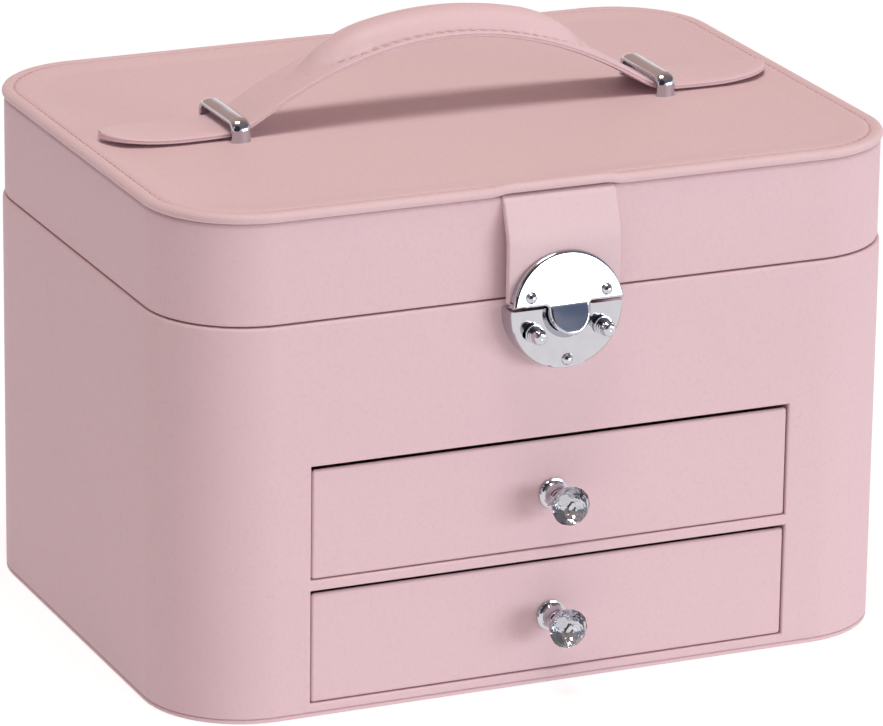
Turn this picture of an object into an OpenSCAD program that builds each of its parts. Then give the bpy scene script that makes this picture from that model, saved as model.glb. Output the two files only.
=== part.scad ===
// Jewelry case: a wrapped box with a hinged lid, a strap handle, a round lock that two sliding
// knobs release, a lined tray under the lid and two drawers with crystal pulls.
// Millimetres. The origin is the middle of the underside, +X is right and -Y is the front.

/* [Case] */
// Outside width of the case
case_w = 240; // [225:1:255]
// Outside depth of the case
case_d = 178; // [165:1:190]
// Plan radius of the outside corners
corner_r = 31; // [26:1:34]
// Thickness of the wrapped walls
wall_t = 5; // [4:0.5:6]
// Height of the seam between case and lid
seam_z = 123.8; // [120:0.2:132]
// Thickness of the wrapped base panel
base_t = 1.6; // [1.2:0.2:2.4]
// Clearance of a board that fits between the walls
board_fit = 0.15; // [0.1:0.05:0.3]

/* [Drawer bay] */
// Width of each drawer opening
opening_w = 157.2; // [140:0.2:164]
// Height of each drawer opening
opening_h = 35.8; // [32:0.2:38]
// Height of the sill under the lower opening
sill_h = 2.7; // [2:0.1:4]
// Height of the rail between the openings
rail_h = 3.3; // [2.5:0.1:5]
// Thickness of the side walls of the bay
bay_wall_t = 3; // [2:0.5:4]
// Thickness of the tray floor above the bay
tray_floor_t = 3; // [2:0.5:4]

/* [Tray] */
// Thickness of the lined collar round the tray
collar_t = 2; // [1.5:0.1:3]
// Height of the collar above the seam
collar_lip = 7; // [4:0.5:10]
// Gap between the collar and the inside of the lid
collar_clear = 0.85; // [0.6:0.05:1.2]
// Thickness of the lined tray dividers
divider_t = 3; // [2:0.5:4]
// Height of the tray dividers
divider_h = 32; // [20:1:38]
// Width of the ring section in the middle of the tray
ring_section_w = 76; // [60:1:90]
// Diameter of a ring roll
roll_d = 15.4; // [12:0.2:18]
// Free gap between two ring rolls
roll_gap = 0.6; // [0.4:0.1:2]
// Height of the block that carries the ring rolls
riser_h = 18; // [10:1:22]

/* [Lid] */
// Height from the seam to the top of the lid walls
lid_h = 31.6; // [26:0.2:40]
// Step of the lid walls behind the case walls
lid_inset = 0.7; // [0.4:0.1:1.2]
// Gap between case and lid at the seam
seam_gap = 0.3; // [0.2:0.1:0.6]
// Thickness of the lid board
lid_board_t = 4; // [3.5:0.1:6]
// Thickness of the padded panel at its rolled edge
panel_edge_t = 3; // [2.4:0.1:4]
// Depth of the panel's field below its rim
panel_dip = 0.9; // [0.2:0.1:1.2]
// Width of the slope from the rim down to the field
panel_slope_w = 10; // [6:0.5:14]
// Distance of the seam groove from the panel's edge
panel_seam_in = 4; // [3:0.2:6]
// Depth of the seam groove in the panel
panel_seam_depth = 0.5; // [0.2:0.1:0.8]
// Thickness of the lined board inside the lid
lining_board_t = 3; // [2.6:0.1:5]
// Width of the mirror
mirror_w = 168; // [120:1:190]
// Depth of the mirror, front to back
mirror_d = 112; // [80:1:130]
// Thickness of the mirror glass
mirror_t = 2; // [1.5:0.1:2.4]
// Clearance round the mirror in its pocket
mirror_fit = 0.2; // [0.1:0.1:0.5]

/* [Drawers] */
// Gap on each side of a drawer
drawer_gap = 0.8; // [0.5:0.1:1.5]
// Gap over a drawer front
drawer_top_gap = 1.1; // [0.6:0.1:2]
// Gap under a drawer
drawer_floor_gap = 0.25; // [0.1:0.05:0.6]
// Gap between a closed drawer and the back wall
drawer_back_gap = 0.6; // [0.3:0.1:2]
// Step of a closed drawer front behind the case front
drawer_recess = 0.5; // [0.2:0.1:1.5]
// Thickness of a drawer front
front_t = 6; // [4:0.5:8]
// Height of the drawer trays
drawer_tray_h = 28; // [20:1:30]
// Thickness of the drawer tray walls
drawer_wall_t = 2.5; // [2:0.1:4]
// Thickness of the drawer lining
drawer_lining_t = 1; // [0.6:0.1:1.6]
// Thickness of the drawer dividers
drawer_divider_t = 2.5; // [1.5:0.1:4]
// Height of the drawer dividers
drawer_divider_h = 19; // [10:1:20]

/* [Drawer pulls] */
// Diameter of the flange on the drawer front
pull_flange_d = 9.4; // [7:0.2:12]
// Diameter of the neck
pull_neck_d = 5.6; // [5:0.1:7]
// Diameter of the cup that holds the crystal
pull_cup_d = 10.6; // [9.4:0.1:11.6]
// Thickness of the cup's rim
pull_cup_lip = 0.5; // [0.3:0.1:0.8]
// Distance from the drawer front to the rim of the cup
pull_cup_reach = 11.6; // [9:0.2:15]
// Diameter of the crystal
crystal_d = 12.2; // [10:0.2:16]
// Height of the crystal in front of its girdle
crystal_crown = 3.2; // [2:0.1:5]
// Depth of the crystal behind its girdle
crystal_pavilion = 3.6; // [3:0.1:4.4]
// Diameter of the flat at the back of the crystal
crystal_culet_d = 3.2; // [2:0.1:4]
// Radial gap between the crystal and its cup
crystal_fit = 0.2; // [0.1:0.05:0.4]
// Thickness of the crystal's girdle
crystal_girdle = 0.7; // [0.4:0.1:1.2]
// Number of main facets round the crystal
crystal_facets = 10; // [6:1:12]
// Diameter of the pull's screw
pull_screw_d = 3; // [2.5:0.1:3.5]
// Diameter of the screw's head
pull_screw_head_d = 6; // [5:0.1:7]
// Height of the screw's head
pull_screw_head_h = 1.8; // [1.2:0.1:2.4]
// Depth of the screw in the pull
pull_screw_grip = 6; // [4:0.5:7]
// Radial clearance of the screw in its holes
screw_fit = 0.1; // [0.05:0.05:0.3]

/* [Lock] */
// Diameter of the round lock
lock_d = 36.4; // [36:0.2:40]
// Distance of the lock's centre below the seam
lock_drop = 2.9; // [2.4:0.1:3.4]
// Distance of the line between the lock's halves below the seam
split_drop = 1.1; // [0.9:0.1:1.3]
// Gap between the lock's halves
split_gap = 1; // [0.6:0.1:1.2]
// Depth of the lower lock plate in front of the case
lock_depth = 7.7; // [7:0.1:8.4]
// Thickness of the lower plate's face
lock_skin_t = 1.4; // [1:0.1:1.6]
// Thickness of the lower plate's rim
lock_rim_t = 1.2; // [1:0.1:1.4]
// Radius of the rounded edge of the lock
lock_edge_r = 1.2; // [0.4:0.1:1.2]
// Diameter of the notch that takes the tongue
notch_d = 13.8; // [13:0.1:14.5]
// Width of the bevel round the notch
notch_bevel = 1.5; // [0.8:0.1:1.8]
// Radial gap between tongue and notch
tongue_fit = 0.4; // [0.3:0.05:0.6]
// Thickness of the hasp plate
hasp_t = 3.8; // [3.6:0.1:4.2]
// Step of the hasp in front of the lower plate
hasp_proud = 1.1; // [0.8:0.1:1.4]
// Angle by which the hasp's face leans back from its lower edge
hasp_tilt = 9; // [4:1:9]
// Diameter of the dish in the tongue
dish_d = 11.6; // [9:0.2:12]
// Depth of the dish in the tongue
dish_depth = 1.1; // [0.5:0.1:1.4]
// Thickness of the plate behind the mechanism
lock_back_t = 0.8; // [0.6:0.1:1.2]
// Clearance of the back plate inside the rim
lock_back_fit = 0.2; // [0.1:0.05:0.4]
// Distance of each knob from the lock's centre line
knob_x = 11.2; // [11:0.1:11.6]
// Distance of the knobs below the lock's centre
knob_drop = 5.8; // [5:0.1:5.8]
// Distance of the bolt noses below the lock's centre
nose_drop = 4.8; // [4.4:0.1:5]
// Travel of each knob
knob_travel = 2; // [1:0.1:2.2]
// Length of each knob in front of the plate
knob_len = 6.2; // [5.6:0.2:12]
// Diameter of a knob at its foot
knob_foot_d = 6; // [4.6:0.1:6.4]
// Diameter of a knob at its tip
knob_tip_d = 4.2; // [3:0.1:4.6]
// Depth of the grooves round a knob
knob_groove = 0.45; // [0.2:0.05:0.7]
// Diameter of the knob's stem in its slot
knob_stem_d = 2.6; // [2.2:0.1:3]
// Gap between a knob and the plate
knob_clear = 0.3; // [0.2:0.05:0.5]
// Diameter of the riveted tail of the knob
knob_tail_d = 2; // [1.6:0.1:2.2]
// Thickness of each slide
slide_t = 2.2; // [1.8:0.1:2.4]
// Half height of each slide
slide_half_h = 1.6; // [1.3:0.1:1.7]
// Running clearance of the slides
slide_fit = 0.2; // [0.15:0.05:0.3]
// Gap between a bolt nose and the tongue
nose_gap = 0.4; // [0.3:0.1:0.8]
// Outside diameter of the lock spring
spring_d = 2.4; // [2:0.1:2.5]
// Wire diameter of the lock spring
spring_wire_d = 0.44; // [0.3:0.02:0.5]
// Number of turns of the lock spring
spring_turns = 10; // [6:1:12]
// Diameter of a rivet head
rivet_head_d = 3.8; // [3:0.1:4.4]
// Height of a rivet head
rivet_head_h = 1.5; // [0.6:0.1:1.8]
// Diameter of a rivet shank
rivet_d = 2.4; // [1.8:0.1:2.6]
// Clearance of a rivet in its hole
rivet_fit = 0.05; // [0.02:0.01:0.1]
// Distance of the hasp rivets from the centre line
hasp_rivet_x = 12.3; // [11:0.1:13]
// Distance of the hasp rivets above the lock's centre
hasp_rivet_rise = 5.4; // [5:0.1:6.4]
// Distance of the plate's rivet below the lock's centre
plate_rivet_drop = 15.2; // [14.6:0.1:15.4]

/* [Lock tab] */
// Width of the leather tab
tab_w = 36.5; // [34:0.5:40]
// Thickness of the leather tab
tab_t = 2.4; // [1.8:0.1:2.8]
// Inside radius of the tab's bend over the lid's edge
tab_bend_r = 1; // [0.8:0.1:1.6]
// Distance by which the tab leans out between its bend and the lock
tab_lean = 3.8; // [2.4:0.2:4.4]
// Angle of the leaning part of the tab
tab_angle = 22; // [18:1:24]
// Radius with which the leaning part turns down behind the hasp
tab_knee_r = 18; // [12:0.5:20]
// Length of the tab under the panel
tab_root = 14; // [8:0.5:20]
// Clearance round the tab in the lid
tab_fit = 0.3; // [0.2:0.05:0.5]

/* [Handle] */
// Width of the strap
strap_w = 22; // [18:0.5:26]
// Thickness of the strap at its edges
strap_t = 2.3; // [1.8:0.1:3]
// Extra thickness of the padded grip
strap_pad = 6.2; // [2:0.2:7]
// Half length of the padded grip
grip_half = 50; // [40:1:54]
// Half length of the part of the grip that has its full width
grip_full_half = 24; // [14:1:30]
// Half length of the strap with its tongues
strap_reach = 111.5; // [104:0.5:114]
// Length of the rounded end of each tongue
tongue_round = 21.5; // [12:0.5:26]
// Height of the arch under the strap
arch_rise = 24; // [16:0.5:30]
// Half span of the arch
arch_half = 69; // [62:0.5:70]
// Softness of the bend at the foot of the arch
arch_ease = 2.4; // [0.8:0.1:2.8]
// Rise of the tips of the tongues
tongue_lift = 1.5; // [1.2:0.1:2.4]
// Length over which each tongue lifts
tongue_lift_len = 27; // [20:1:34]
// Gap between the strap and what it lies on
strap_gap = 0.2; // [0.1:0.05:0.4]
// Distance of each loop from the middle of the lid
loop_x = 71; // [69:0.5:76]
// Width of the loop's bar
loop_bar_w = 6; // [4:0.2:8]
// Thickness of the loop's bar
loop_bar_t = 2.5; // [2:0.1:3]
// Gap on each side of the strap in a loop
loop_side_gap = 1.5; // [0.5:0.1:2]
// Gap over the strap in a loop
loop_top_gap = 2.3; // [2:0.1:3]
// Outside corner radius of a loop
loop_corner_r = 4; // [3:0.2:4.5]
// Thickness of the washers under the lid board
loop_washer_t = 0.8; // [0.6:0.1:1.2]
// Margin of a washer round the leg of a loop
loop_washer_rim = 3; // [2:0.2:4]
// Clearance of a loop's leg in its holes
leg_fit = 0.1; // [0.05:0.05:0.2]

/* [Hinges] */
// Distance of each hinge from the middle of the back
hinge_x = 62; // [50:1:70]
// Length of each hinge
hinge_w = 34; // [28:1:40]
// Height of each hinge leaf
leaf_h = 14; // [12:0.5:18]
// Thickness of the hinge leaves
leaf_t = 1.1; // [0.9:0.1:1.4]
// Radius of the knuckles
knuckle_r = 2.4; // [2.2:0.1:2.8]
// Gap between knuckles, and between barrel and wall
knuckle_gap = 0.4; // [0.3:0.1:0.6]
// Number of knuckles on a hinge
knuckles = 5; // [3:2:7]
// Radius of the hinge pin
pin_r = 1.2; // [1:0.05:1.4]
// Radial running clearance of the hinge pin
pin_fit = 0.05; // [0.02:0.01:0.1]
// Diameter of the heads of the hinge screws
hinge_screw_head_d = 4; // [3.4:0.1:4.4]
// Diameter of the hinge screws
hinge_screw_d = 2; // [1.6:0.1:2.2]
// Length of the hinge screws
hinge_screw_len = 4.4; // [3.6:0.1:4.6]
// Distance of the screws from the middle of a hinge
hinge_screw_x = 10; // [7:0.5:12]
// Distance of the screws from the hinge axis
hinge_screw_z = 9; // [7:0.5:10]

/* [Hidden] */
$fn = 48;
cut = 1;
panel_steps = 10;
strap_steps = 72;
spring_sides = 6;
spring_rings = 8;
tab_steps = 6;

front_y = -case_d / 2;
back_y = case_d / 2;
inner_w = case_w - 2 * wall_t;
inner_d = case_d - 2 * wall_t;
inner_r = corner_r - wall_t;
sill_z = base_t + sill_h;
upper_z = sill_z + opening_h + rail_h;
tray_floor_z = upper_z + opening_h;
tray_z = tray_floor_z + tray_floor_t;
divider_top_z = tray_z + divider_h;

collar_w = inner_w - 2 * board_fit;
collar_d = inner_d - 2 * board_fit;
collar_r = inner_r - board_fit;
tray_w = collar_w - 2 * collar_t;
tray_d = collar_d - 2 * collar_t;

lid_w = case_w - 2 * lid_inset;
lid_d = case_d - 2 * lid_inset;
lid_r = corner_r - lid_inset;
lid_inner_w = collar_w + 2 * collar_clear;
lid_inner_d = collar_d + 2 * collar_clear;
lid_inner_r = collar_r + collar_clear;
lid_z = seam_z + seam_gap;
lid_top_z = seam_z + lid_h;
lid_board_z = lid_top_z - lid_board_t;
panel_field_z = lid_top_z + panel_edge_t - panel_dip;
lining_z = lid_board_z - loop_washer_t - lining_board_t;

drawer_w = opening_w - 2 * drawer_gap;
drawer_front_h = opening_h - drawer_top_gap - drawer_floor_gap;
drawer_y = front_y + drawer_recess;
drawer_tray_y = drawer_y + front_t;
drawer_tray_d = back_y - wall_t - drawer_back_gap - drawer_tray_y;
pull_rise = drawer_front_h / 2;
crystal_r = crystal_d / 2;
culet_r = crystal_culet_d / 2;
pavilion_slope = (crystal_r - culet_r) / crystal_pavilion;
crystal_rim_r = pull_cup_d / 2 - pull_cup_lip - crystal_fit;
girdle_z = pull_cup_reach + (crystal_r - crystal_rim_r) / pavilion_slope;
culet_z = girdle_z - crystal_pavilion;

lock_r = lock_d / 2;
lock_z = seam_z - lock_drop;
split_y = lock_drop - split_drop;
plate_top_y = split_y - split_gap / 2;
hasp_bottom_y = split_y + split_gap / 2;
notch_r = notch_d / 2;
tongue_r = notch_r - tongue_fit;
hasp_face = lock_depth + hasp_proud;
hasp_back = hasp_face - hasp_t;
slide_top = lock_depth - lock_skin_t - slide_fit;
slide_bottom = slide_top - slide_t;
knob_y = -knob_drop;
slide_in_x = knob_x - knob_stem_d / 2 - lock_skin_t;
slide_out_x = knob_x + knob_tail_d / 2 + lock_skin_t / 2;
spring_y = -notch_r - lock_rim_t - spring_d / 2 - 2 * slide_fit;
arm_in_x = knob_x - 2 * knob_tail_d - slide_fit;
arm_w = knob_tail_d + 2 * slide_fit;
nose_y = -nose_drop;
nose_x = sqrt(pow(tongue_r, 2) - pow(nose_drop - slide_half_h / 2, 2)) + nose_gap;

tab_mid_r = tab_bend_r + tab_t / 2;
tab_mid_y = front_y - hasp_back + tab_t / 2;
tab_bend_y = tab_mid_y + tab_lean + tab_mid_r;
tab_bend_z = lid_top_z - tab_fit / 4 - tab_t - tab_bend_r;
tab_run = (tab_lean + (tab_mid_r - tab_knee_r) * (1 - cos(tab_angle))) / sin(tab_angle);
tab_knee_y = tab_mid_y + tab_knee_r;
tab_knee_z = tab_bend_z + (tab_mid_r - tab_knee_r) * sin(tab_angle) - tab_run * cos(tab_angle);
tab_end_z = lock_z + hasp_bottom_y + split_gap / 2;

strap_z = panel_field_z + strap_gap;
loop_bar_z = strap_z + strap_t + loop_top_gap;
loop_top_z = loop_bar_z + loop_bar_t;
loop_inner = strap_w + 2 * loop_side_gap;
leg_bottom_z = lid_board_z - loop_washer_t;
leg_y = loop_inner / 2 + loop_bar_t / 2;

hinge_y = back_y + knuckle_r + knuckle_gap;
hinge_z = seam_z + seam_gap / 2;
knuckle_w = hinge_w / knuckles;

// A slab with rounded plan corners, from height z
module rounded_slab(w, d, r, z, h) {
    translate([0, 0, z])
        linear_extrude(h) {
            square([w - 2 * r, d], center = true);
            square([w, d - 2 * r], center = true);
            for (x = [-1, 1], y = [-1, 1])
                translate([x * (w / 2 - r), y * (d / 2 - r)])
                    circle(r);
        }
}

// Points of a rounded rectangle at one height, counter-clockwise from above
function rounded_ring(w, d, r, z) = [
    for (q = [0:3], i = [0:panel_steps])
        let (
            a = 90 * (q + i / panel_steps),
            sx = q == 0 || q == 3 ? 1 : -1,
            sy = q < 2 ? 1 : -1
        )
        [sx * (w / 2 - r) + r * cos(a), sy * (d / 2 - r) + r * sin(a), z]
];

// A closed skin over a stack of rings with equal point counts
module loft(rings) {
    n = len(rings[0]);
    last = len(rings) - 1;
    sides = [
        for (k = [0:last - 1], i = [0:n - 1])
            let (a = k * n + i, b = k * n + (i + 1) % n)
            for (f = [[a, a + n, b + n], [a, b + n, b]])
                f
    ];
    caps = [
        [for (i = [0:n - 1]) i],
        [for (i = [n - 1:-1:0]) last * n + i]
    ];
    polyhedron(points = [for (ring = rings, p = ring) p], faces = concat(sides, caps));
}

// Places the lock's own frame: x across, y up from the lock's centre, z out of the case front
module at_lock() {
    translate([0, front_y, lock_z])
        rotate([90, 0, 0])
            children();
}

// A domed rivet: shank from z0 to z1 along the lock's z, head on top, leaning as its seat leans
module rivet(x, y, z0, z1, lean = 0) {
    head_sphere = (pow(rivet_head_d / 2, 2) + pow(rivet_head_h, 2)) / (2 * rivet_head_h);
    translate([x, y, z0])
        cylinder(d = rivet_d, h = z1 - z0 + rivet_d / 2 * tan(lean));
    translate([x, y, z1])
        rotate([-lean, 0, 0])
            intersection() {
                translate([0, 0, rivet_head_h - head_sphere])
                    sphere(head_sphere);
                cylinder(d = rivet_head_d + cut, h = rivet_head_h + cut);
            }
}

// The wrapped bottom panel that the case stands on
module base_panel() {
    color("#dd8b93")
        rounded_slab(case_w, case_d, corner_r, 0, base_t);
}

// The board that the lower drawer runs on
module floor_board() {
    color("#d8b3a8")
        rounded_slab(inner_w - 2 * board_fit, inner_d - 2 * board_fit, inner_r - board_fit, base_t, sill_h);
}

// The wrapped walls, open at the front for the two drawers
module body_shell() {
    color("#e8979f")
        difference() {
            rounded_slab(case_w, case_d, corner_r, base_t, seam_z - base_t);
            rounded_slab(inner_w, inner_d, inner_r, base_t - cut, seam_z - base_t + 2 * cut);
            for (z = [sill_z, upper_z])
                translate([-opening_w / 2, front_y - cut, z])
                    cube([opening_w, wall_t + 2 * cut, opening_h]);
            at_lock()
                translate([0, -plate_rivet_drop, -wall_t - cut])
                    cylinder(d = rivet_d + 2 * rivet_fit, h = wall_t + 2 * cut);
            hinge_screw_holes(-1);
        }
}

// One side wall of the drawer bay
module bay_wall(side) {
    color("#d8b3a8")
        translate([side * (opening_w / 2 + bay_wall_t / 2) - bay_wall_t / 2, front_y + wall_t, sill_z])
            cube([bay_wall_t, inner_d, tray_floor_z - sill_z]);
}

// The board behind the rail, which carries the upper drawer
module drawer_shelf() {
    color("#d8b3a8")
        translate([-opening_w / 2, front_y + wall_t, sill_z + opening_h])
            cube([opening_w, inner_d, rail_h]);
}

// The floor of the tray, on the bay walls
module tray_floor() {
    color("#e6d3c8")
        rounded_slab(inner_w - 2 * board_fit, inner_d - 2 * board_fit, inner_r - board_fit, tray_floor_z, tray_floor_t);
}

// The lined collar that stands up into the lid
module tray_collar() {
    color("#ead8cd")
        difference() {
            rounded_slab(collar_w, collar_d, collar_r, tray_z, seam_z + collar_lip - tray_z);
            rounded_slab(tray_w, tray_d, collar_r - collar_t, tray_z - cut, seam_z + collar_lip - tray_z + 2 * cut);
        }
}

// The two long dividers beside the ring section
module tray_dividers() {
    color("#ead8cd")
        for (x = [-1, 1])
            translate([x * (ring_section_w + divider_t) / 2 - divider_t / 2, -tray_d / 2, tray_z])
                cube([divider_t, tray_d, divider_h]);
}

// The two short dividers across the side sections
module tray_cross_dividers() {
    cross_len = (tray_w - ring_section_w) / 2 - divider_t;
    color("#ead8cd")
        for (x = [-1, 1])
            translate([x * (tray_w / 2 - cross_len / 2) - cross_len / 2, -divider_t / 2, tray_z])
                cube([cross_len, divider_t, divider_h]);
}

// The lined block under the ring rolls
module ring_riser() {
    color("#e6d3c8")
        translate([-ring_section_w / 2, -tray_d / 2, tray_z])
            cube([ring_section_w, tray_d, riser_h]);
}

// The row of padded rolls that grip rings, flat where they sit on the block
module ring_rolls() {
    pitch = roll_d + roll_gap;
    count = floor((tray_d - roll_gap) / pitch);
    length = ring_section_w - 2 * roll_gap;
    sink = roll_d / 6;
    color("#f0e0d6")
        for (i = [0:count - 1])
            translate([-length / 2, (i - (count - 1) / 2) * pitch, tray_z + riser_h + roll_d / 2 - sink])
                difference() {
                    rotate([0, 90, 0])
                        cylinder(d = roll_d, h = length);
                    translate([-cut, -roll_d, -roll_d / 2 + sink - roll_d])
                        cube([length + 2 * cut, 2 * roll_d, roll_d]);
                }
}

// The four places where the legs of the loops go through the lid
module leg_holes(z, h) {
    for (x = [-1, 1], y = [-1, 1])
        translate([x * loop_x - loop_bar_w / 2 - leg_fit, y * leg_y - loop_bar_t / 2 - leg_fit, z])
            cube([loop_bar_w + 2 * leg_fit, loop_bar_t + 2 * leg_fit, h]);
}

// The wrapped lid walls with the board across their top
module lid_frame() {
    color("#e8979f")
        difference() {
            rounded_slab(lid_w, lid_d, lid_r, lid_z, lid_top_z - lid_z);
            rounded_slab(lid_inner_w, lid_inner_d, lid_inner_r, lid_z - cut, lid_board_z - lid_z + cut);
            tab_strip(tab_fit);
            leg_holes(lid_board_z - cut, lid_board_t + 2 * cut);
            hinge_screw_holes(1);
        }
}

// The padded top panel: a rolled edge, a seam groove all round and a field that dips below it
module lid_panel() {
    roll = panel_edge_t / 2;
    top = lid_top_z + panel_edge_t;
    groove = roll / 2;
    // Each pair is an inset from the edge and a height
    profile = [
        [roll, lid_top_z],
        for (a = [-60:30:60])
            [roll * (1 - cos(a)), lid_top_z + roll * (1 + sin(a))],
        [roll, top],
        [panel_seam_in - groove, top],
        [panel_seam_in, top - panel_seam_depth],
        [panel_seam_in + groove, top],
        for (t = [0.25:0.25:1])
            [panel_seam_in + groove + t * panel_slope_w, top - panel_dip * (1 - cos(180 * t)) / 2]
    ];
    color("#eb9da5")
        difference() {
            loft([
                for (p = profile)
                    rounded_ring(case_w - 2 * p[0], case_d - 2 * p[0], max(corner_r - p[0], roll), p[1])
            ]);
            leg_holes(lid_top_z - cut, panel_edge_t + 2 * cut);
        }
}

// The lined board inside the lid, with a pocket for the mirror
module lid_lining() {
    color("#ead8cd")
        difference() {
            rounded_slab(
                lid_inner_w - 2 * board_fit, lid_inner_d - 2 * board_fit, lid_inner_r - board_fit,
                lining_z, lining_board_t
            );
            translate([-mirror_w / 2 - mirror_fit, -mirror_d / 2 - mirror_fit, lining_z - cut])
                cube([mirror_w + 2 * mirror_fit, mirror_d + 2 * mirror_fit, mirror_t + cut]);
        }
}

// The mirror in its pocket
module lid_mirror() {
    color("#cfd6da")
        translate([-mirror_w / 2, -mirror_d / 2, lining_z])
            cube([mirror_w, mirror_d, mirror_t]);
}

// Height of the strap's underside over the field of the panel
function strap_rise(x) =
    let (
        p = arch_rise * (1 - pow(x / arch_half, 2)),
        t = max(0, abs(x) - strap_reach + tongue_lift_len) / tongue_lift_len
    )
    (p + sqrt(p * p + arch_ease * arch_ease)) / 2 + tongue_lift * t * t;

// Half width of the strap, rounded at its ends
function strap_half(x) =
    let (t = max(0, abs(x) - strap_reach + tongue_round) / tongue_round)
    strap_w / 2 * sqrt(max(0.02, 1 - t * t));

// Share of the padding along the strap, from 1 in the grip to 0 past its pointed ends
function grip_share(x) =
    let (t = min(1, max(0, abs(x) - grip_full_half) / (grip_half - grip_full_half)))
    1 - t * t;

// One cross section of the strap, square to its path
function strap_ring(x) =
    let (
        slope = (strap_rise(x + 0.1) - strap_rise(x - 0.1)) / 0.2,
        norm = sqrt(1 + slope * slope),
        half = strap_half(x),
        pad = strap_pad * grip_share(x),
        w = max(0.2, grip_share(x)),
        // Each entry is a share of the half width, of the edge thickness and of the padding
        section = [
            [-1, 0.3, 0], [-0.96, 0, 0], [0, 0, 0], [0.96, 0, 0], [1, 0.3, 0], [1, 0.75, 0],
            [0.95, 1, 0], [0.74 * w, 1, 0], [0.64 * w, 1, 0.5], [0.4 * w, 1, 0.86], [0, 1, 1],
            [-0.4 * w, 1, 0.86], [-0.64 * w, 1, 0.5], [-0.74 * w, 1, 0], [-0.95, 1, 0], [-1, 0.75, 0]
        ]
    )
    [
        for (s = section)
            let (h = s[1] * strap_t + s[2] * pad)
            [x - h * slope / norm, s[0] * half, strap_z + strap_rise(x) + h / norm]
    ];

// The carrying strap: two flat tongues through the loops and a padded arch between them
module handle_strap() {
    color("#e8979f")
        loft([for (i = [-strap_steps / 2:strap_steps / 2]) strap_ring(strap_reach * sin(180 * i / strap_steps))]);
}

// A flat metal loop over the strap, with legs through the lid
module handle_loop(side) {
    outer = loop_inner + 2 * loop_bar_t;
    inside_r = loop_corner_r - loop_bar_t;
    color("#d9d6d4")
        translate([side * loop_x - loop_bar_w / 2, 0, 0])
            rotate([90, 0, 90])
                linear_extrude(loop_bar_w)
                    difference() {
                        union() {
                            translate([-outer / 2, leg_bottom_z])
                                square([outer, loop_top_z - loop_corner_r - leg_bottom_z]);
                            translate([-outer / 2 + loop_corner_r, leg_bottom_z])
                                square([outer - 2 * loop_corner_r, loop_top_z - leg_bottom_z]);
                            for (y = [-1, 1])
                                translate([y * (outer / 2 - loop_corner_r), loop_top_z - loop_corner_r])
                                    circle(loop_corner_r);
                        }
                        translate([-loop_inner / 2, leg_bottom_z - cut])
                            square([loop_inner, loop_bar_z - inside_r - leg_bottom_z + cut]);
                        translate([-loop_inner / 2 + inside_r, leg_bottom_z - cut])
                            square([loop_inner - 2 * inside_r, loop_bar_z - leg_bottom_z + cut]);
                        for (y = [-1, 1])
                            translate([y * (loop_inner / 2 - inside_r), loop_bar_z - inside_r])
                                circle(inside_r);
                    }
}

// The four washers that hold the loops' legs under the lid board
module loop_washers() {
    size_x = loop_bar_w + 2 * loop_washer_rim;
    size_y = loop_bar_t + 2 * loop_washer_rim;
    color("#b9b6b4")
        difference() {
            for (x = [-1, 1], y = [-1, 1])
                translate([x * loop_x - size_x / 2, y * leg_y - size_y / 2, leg_bottom_z])
                    cube([size_x, size_y, loop_washer_t]);
            leg_holes(leg_bottom_z - cut, loop_washer_t + 2 * cut);
        }
}

// The tab's middle line: y, z and the angle of its outward normal, from under the panel to the lock
function tab_path() = concat(
    [[tab_bend_y + tab_root, tab_bend_z + tab_mid_r, 90]],
    [
        for (i = [0:tab_steps])
            let (a = 90 + (90 - tab_angle) * i / tab_steps)
            [tab_bend_y + tab_mid_r * cos(a), tab_bend_z + tab_mid_r * sin(a), a]
    ],
    [
        for (i = [0:tab_steps])
            let (b = tab_angle * (1 - i / tab_steps))
            [tab_knee_y - tab_knee_r * cos(b), tab_knee_z + tab_knee_r * sin(b), 180 - b]
    ],
    [[tab_mid_y, tab_end_z, 180]]
);

// The tab as a bent strip, grown by a clearance on every side but its lower end
module tab_strip(grow) {
    path = tab_path();
    half = tab_t / 2 + grow;
    last = len(path) - 1;
    translate([-tab_w / 2 - grow, 0, 0])
        rotate([90, 0, 90])
            linear_extrude(tab_w + 2 * grow)
                polygon([
                    for (k = [1, -1], i = k > 0 ? [0:last] : [last:-1:0])
                        let (p = path[i])
                        [
                            p[0] + k * half * cos(p[2]) + (i == 0 ? grow : 0),
                            p[1] + k * half * sin(p[2])
                        ]
                ]);
}

// The leather tab: held under the panel, bent over the lid's edge and leaning out to the lock
module lock_tab() {
    color("#e2929a")
        difference() {
            tab_strip(0);
            at_lock()
                for (x = [-1, 1])
                    translate([x * hasp_rivet_x, hasp_rivet_rise, hasp_back - tab_t - cut])
                        cylinder(d = rivet_d + 2 * rivet_fit, h = tab_t + 2 * cut);
        }
}

// A disc with a rounded front edge, the blank of both lock halves
module lock_disc(z, h) {
    rotate_extrude($fn = 96)
        polygon([
            [0, z], [lock_r, z],
            for (a = [0:22.5:90])
                [lock_r - lock_edge_r * (1 - cos(a)), z + h - lock_edge_r * (1 - sin(a))],
            [0, z + h]
        ]);
}

// Height of the hasp's leaning face at a distance above the lock's centre
function hasp_top(y) = hasp_face - (y - hasp_bottom_y) * tan(hasp_tilt);

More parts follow.
